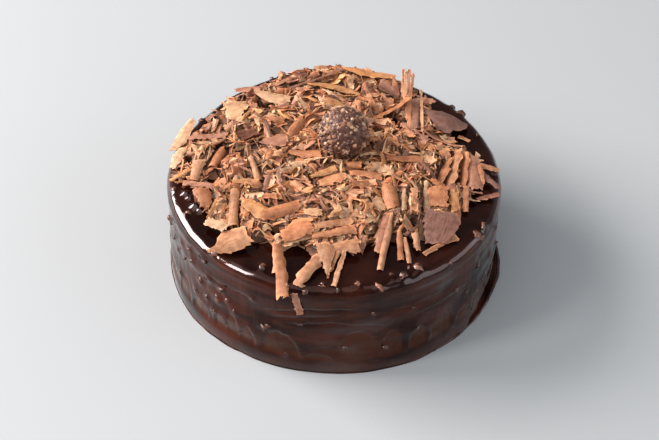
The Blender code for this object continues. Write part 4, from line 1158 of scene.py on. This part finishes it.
def scattered(sheet, seed, handfuls, kind, shade):
    """Handfuls of one kind, laid one after the other. The kind gives how its shavings are cut and bent, how
    much they tip and lean, how deep they sink, and how far they may stand over the roof."""
    rng = np.random.default_rng(seed)
    heap, tints = [], []
    for _ in range(handfuls):
        cut, tilt, sink, over = kind(rng)
        bodies, stays = laid(
            sheet, cut_and_bent(sheet, rng, **cut), loose_places(rng), rng.uniform(0, math.tau, HANDFUL),
            rng.normal(0, tilt[0], HANDFUL), rng.normal(0, tilt[1], HANDFUL), sink, over,
        )
        heap.append(bodies)
        # shade darkens a whole layer: painted shade for the layers deep in the heap
        tints.append(shade * tinted(rng, rng.choice(LOOSE_TINTS, HANDFUL, p=LOOSE_SHARES), 0.20)[stays])
    return np.concatenate(heap), np.concatenate(tints)


def drawn(rng, low, high):
    """One value for each shaving of a handful."""
    return rng.uniform(low, high, (HANDFUL, 1))


def leaning(rng, spread, middle=0.0):
    """One value for each shaving of a handful, most of them near the middle."""
    return rng.normal(middle, spread, (HANDFUL, 1))


def both_edges(rng, tail, head, share):
    return {"far": torn(rng, tail, head, share), "near": torn(rng, tail, head, share)}


def bed_flake(rng):
    """A flake low in the heap."""
    width = drawn(rng, 4, 9) * MM
    cut = {
        "length": drawn(rng, 7, 15) * MM, "far": torn(rng, width, width * drawn(rng, 0.6, 1.1), 0.15),
        "near": torn(rng, width, width, 0.15), "thickness": 0.7 * MM, "arc": leaning(rng, 0.5, 0.3),
        "bow": leaning(rng, 0.3), "twist": leaning(rng, 0.3), "slant": 0.25,
    }
    return cut, (0.2, 0.3), 0.3, 0.0


def top_flake(rng):
    """A flake that shows on the heap. Most are curved, and some stand on edge."""
    length = drawn(rng, 4.5, 14) * MM
    width = np.minimum(length, drawn(rng, 3, 8) * MM)
    head = width * drawn(rng, 0.2, 1.1)
    cut = {
        "length": length, **both_edges(rng, width, head, 0.35), "thickness": drawn(rng, 0.45, 0.75) * MM,
        "arc": rng.gamma(2.0, 0.6, (HANDFUL, 1)) * rng.choice((1, 1, 1, -1), (HANDFUL, 1)),
        "bow": leaning(rng, 0.6), "twist": leaning(rng, 0.5), "slant": 0.45,
    }
    return cut, (0.35, 0.55), 0.33, 2.4 * MM


def splinter(rng):
    """A thin sliver, broken off the edge of a shaving."""
    width = drawn(rng, 0.8, 2.2) * MM
    head = width * drawn(rng, 0.2, 1.0)
    cut = {
        "length": drawn(rng, 4, 14) * MM, **both_edges(rng, width, head, 0.3),
        "thickness": drawn(rng, 0.5, 0.9) * MM, "arc": leaning(rng, 0.4, 0.3), "bow": leaning(rng, 0.6, 0.2),
        "twist": leaning(rng, 0.9), "slant": 0.4,
    }
    return cut, (0.35, 0.7), 0.3, 2.4 * MM


def crumb(rng):
    """A short fragment, in the gaps and on top."""
    width = drawn(rng, 0.8, 2.4) * MM
    cut = {
        "length": drawn(rng, 1.5, 4.5) * MM, **both_edges(rng, width, width, 0.5),
        "thickness": drawn(rng, 0.5, 0.9) * MM, "arc": leaning(rng, 0.5), "bow": leaning(rng, 0.5),
        "twist": leaning(rng, 0.5), "slant": 0.5,
    }
    return cut, (0.5, 0.7), 0.3, 2.2 * MM


def curl(rng):
    """A shaving that rolled up as it came off the block."""
    width = drawn(rng, 5, 11) * MM
    head = width * drawn(rng, 0.6, 1.05)
    cut = {
        "length": drawn(rng, 4, 13) * MM, **both_edges(rng, width, head, 0.2), "thickness": 0.65 * MM,
        "arc": drawn(rng, 1.9, 4.2) * rng.choice((1, 1, -1), (HANDFUL, 1)),
        "bow": leaning(rng, 0.15), "twist": leaning(rng, 0.3), "slant": 0.3,
    }
    return cut, (0.25, 0.4), 0.25, 2.6 * MM


def last_flake(rng):
    """A flake that fell last and lies over the others, long and torn to a point more often than not."""
    length = drawn(rng, 8, 16) * MM
    width = drawn(rng, 3, 6.5) * MM
    head = width * drawn(rng, 0.1, 0.9)
    cut = {
        "length": length, **both_edges(rng, width, head, 0.3), "thickness": drawn(rng, 0.5, 0.75) * MM,
        "arc": leaning(rng, 0.7, 0.9), "bow": leaning(rng, 0.5, 0.15), "twist": leaning(rng, 0.3),
        "slant": 0.4,
    }
    return cut, (0.16, 0.3), 0.3, 3.6 * MM


flake_sheet = blank_sheet(5, 3)
curl_sheet = blank_sheet(3, 9)
splinter_sheet = blank_sheet(5, 1)
crumb_sheet = blank_sheet(2, 1)
shard_sheet = blank_sheet(7, 4)

# From the bottom up: name, blank sheet, seed, handfuls, kind, and how light its shavings are, which is
# painted shade: the two layers deep in the heap are painted darker.
LAYERS = (
    ("flakes_in_the_heap", flake_sheet, 31, 36, bed_flake, 0.36),
    ("splinters_in_the_heap", splinter_sheet, 32, 36, splinter, 0.42),
    ("curls", curl_sheet, 33, 24, curl, 1.0),
    ("flakes_on_the_heap", flake_sheet, 34, 45, top_flake, 1.0),
    ("splinters_on_the_heap", splinter_sheet, 35, 66, splinter, 1.0),
    ("crumbs", crumb_sheet, 36, 30, crumb, 1.0),
    ("flakes_laid_last", shard_sheet, 37, 26, last_flake, 1.0),
)
for name, sheet, seed, handfuls, kind, shade in LAYERS:
    bodies, tints = scattered(sheet, seed, handfuls, kind, shade)
    shavings_piece(name, sheet, bodies, tints, shaved)

# Floor, lights and camera ------------------------------------------------------------------------
# A plain pale floor under soft studio light: a wide window at the left and a little behind, a narrow one
# nearer to the front, a dimmer one low at the right, a panel overhead, and an even sky. The camera looks
# down at the front.

FLOOR_HALF = 2.5
FLOOR_GREYS = ((0.345, 0.348, 0.355), (0.355, 0.358, 0.365))
LIGHTS = {  # the way to it, its distance in metres, its width and height in metres, its watts and its colour
    "window left": ((-0.86, 0.22, 0.46), 2.2, (1.5, 1.3), 122.0, (1.0, 0.98, 0.96)),
    "window near": ((-0.72, -0.34, 0.60), 2.2, (0.42, 0.8), 22.0, (1.0, 1.0, 1.0)),
    "window right": ((0.88, -0.25, 0.40), 2.0, (2.4, 1.1), 22.0, (0.80, 0.92, 1.0)),
    "panel": ((-0.2, -0.4, 0.89), 2.0, (2.2, 2.2), 19.0, (1.0, 1.0, 1.0)),
}
LIT_HEIGHT = 40 * MM  # the lights are aimed at this height over the middle of the base
SKY = 0.26
SKY_COLOUR = (0.92, 0.96, 1.0)
CAMERA_TARGET = Vector((-2.257, 0.083, 30.0)) * MM
CAMERA_DISTANCE = 1220.3 * MM
CAMERA_ELEVATION = math.radians(42.917)
CAMERA_ROLL = math.radians(1.484)
CAMERA_LENS = 109.3

bm = bmesh.new()
bmesh.ops.create_grid(bm, x_segments=1, y_segments=1, size=FLOOR_HALF)
floor_mesh = bpy.data.meshes.new("floor")
bm.to_mesh(floor_mesh)
bm.free()
floor_material, floor_tree, floor_shader = finish("Pale floor", Roughness=0.75)
floor_grain = grain(floor_tree, on_object(floor_tree), 6.0)
feed(floor_tree, floor_shader, {"Base Color": blend(floor_tree, floor_grain, *FLOOR_GREYS)})
floor_mesh.materials.append(floor_material)
floor = bpy.data.objects.new("floor", floor_mesh)
bpy.context.scene.collection.objects.link(floor)

for name, (way, far, size, power, colour) in LIGHTS.items():
    light = bpy.data.lights.new(name, "AREA")
    light.shape, light.size, light.size_y = "RECTANGLE", *size
    light.energy, light.color = power, colour
    item = bpy.data.objects.new(name, light)
    way = Vector(way).normalized()
    item.location = way * far + Vector((0, 0, LIT_HEIGHT))
    item.rotation_euler = way.to_track_quat("Z", "Y").to_euler()
    bpy.context.scene.collection.objects.link(item)
world = bpy.data.worlds.new("sky")
world.use_nodes = True
feed(world.node_tree, world.node_tree.nodes["Background"], {"Color": SKY_COLOUR, "Strength": SKY})
bpy.context.scene.world = world
bpy.context.scene.view_settings.view_transform = "Standard"

back = Vector((0, -math.cos(CAMERA_ELEVATION), math.sin(CAMERA_ELEVATION)))
right = Vector((1, 0, 0))
up = back.cross(right)
rolled_right = right * math.cos(CAMERA_ROLL) + up * math.sin(CAMERA_ROLL)
rolled_up = up * math.cos(CAMERA_ROLL) - right * math.sin(CAMERA_ROLL)
camera_data = bpy.data.cameras.new("camera")
camera_data.lens = CAMERA_LENS
camera = bpy.data.objects.new("camera", camera_data)
camera.matrix_world = Matrix.LocRotScale(
    CAMERA_TARGET + back * CAMERA_DISTANCE,
    Matrix((rolled_right, rolled_up, back)).transposed(),
    None,
)
bpy.context.scene.collection.objects.link(camera)
bpy.context.scene.camera = camera
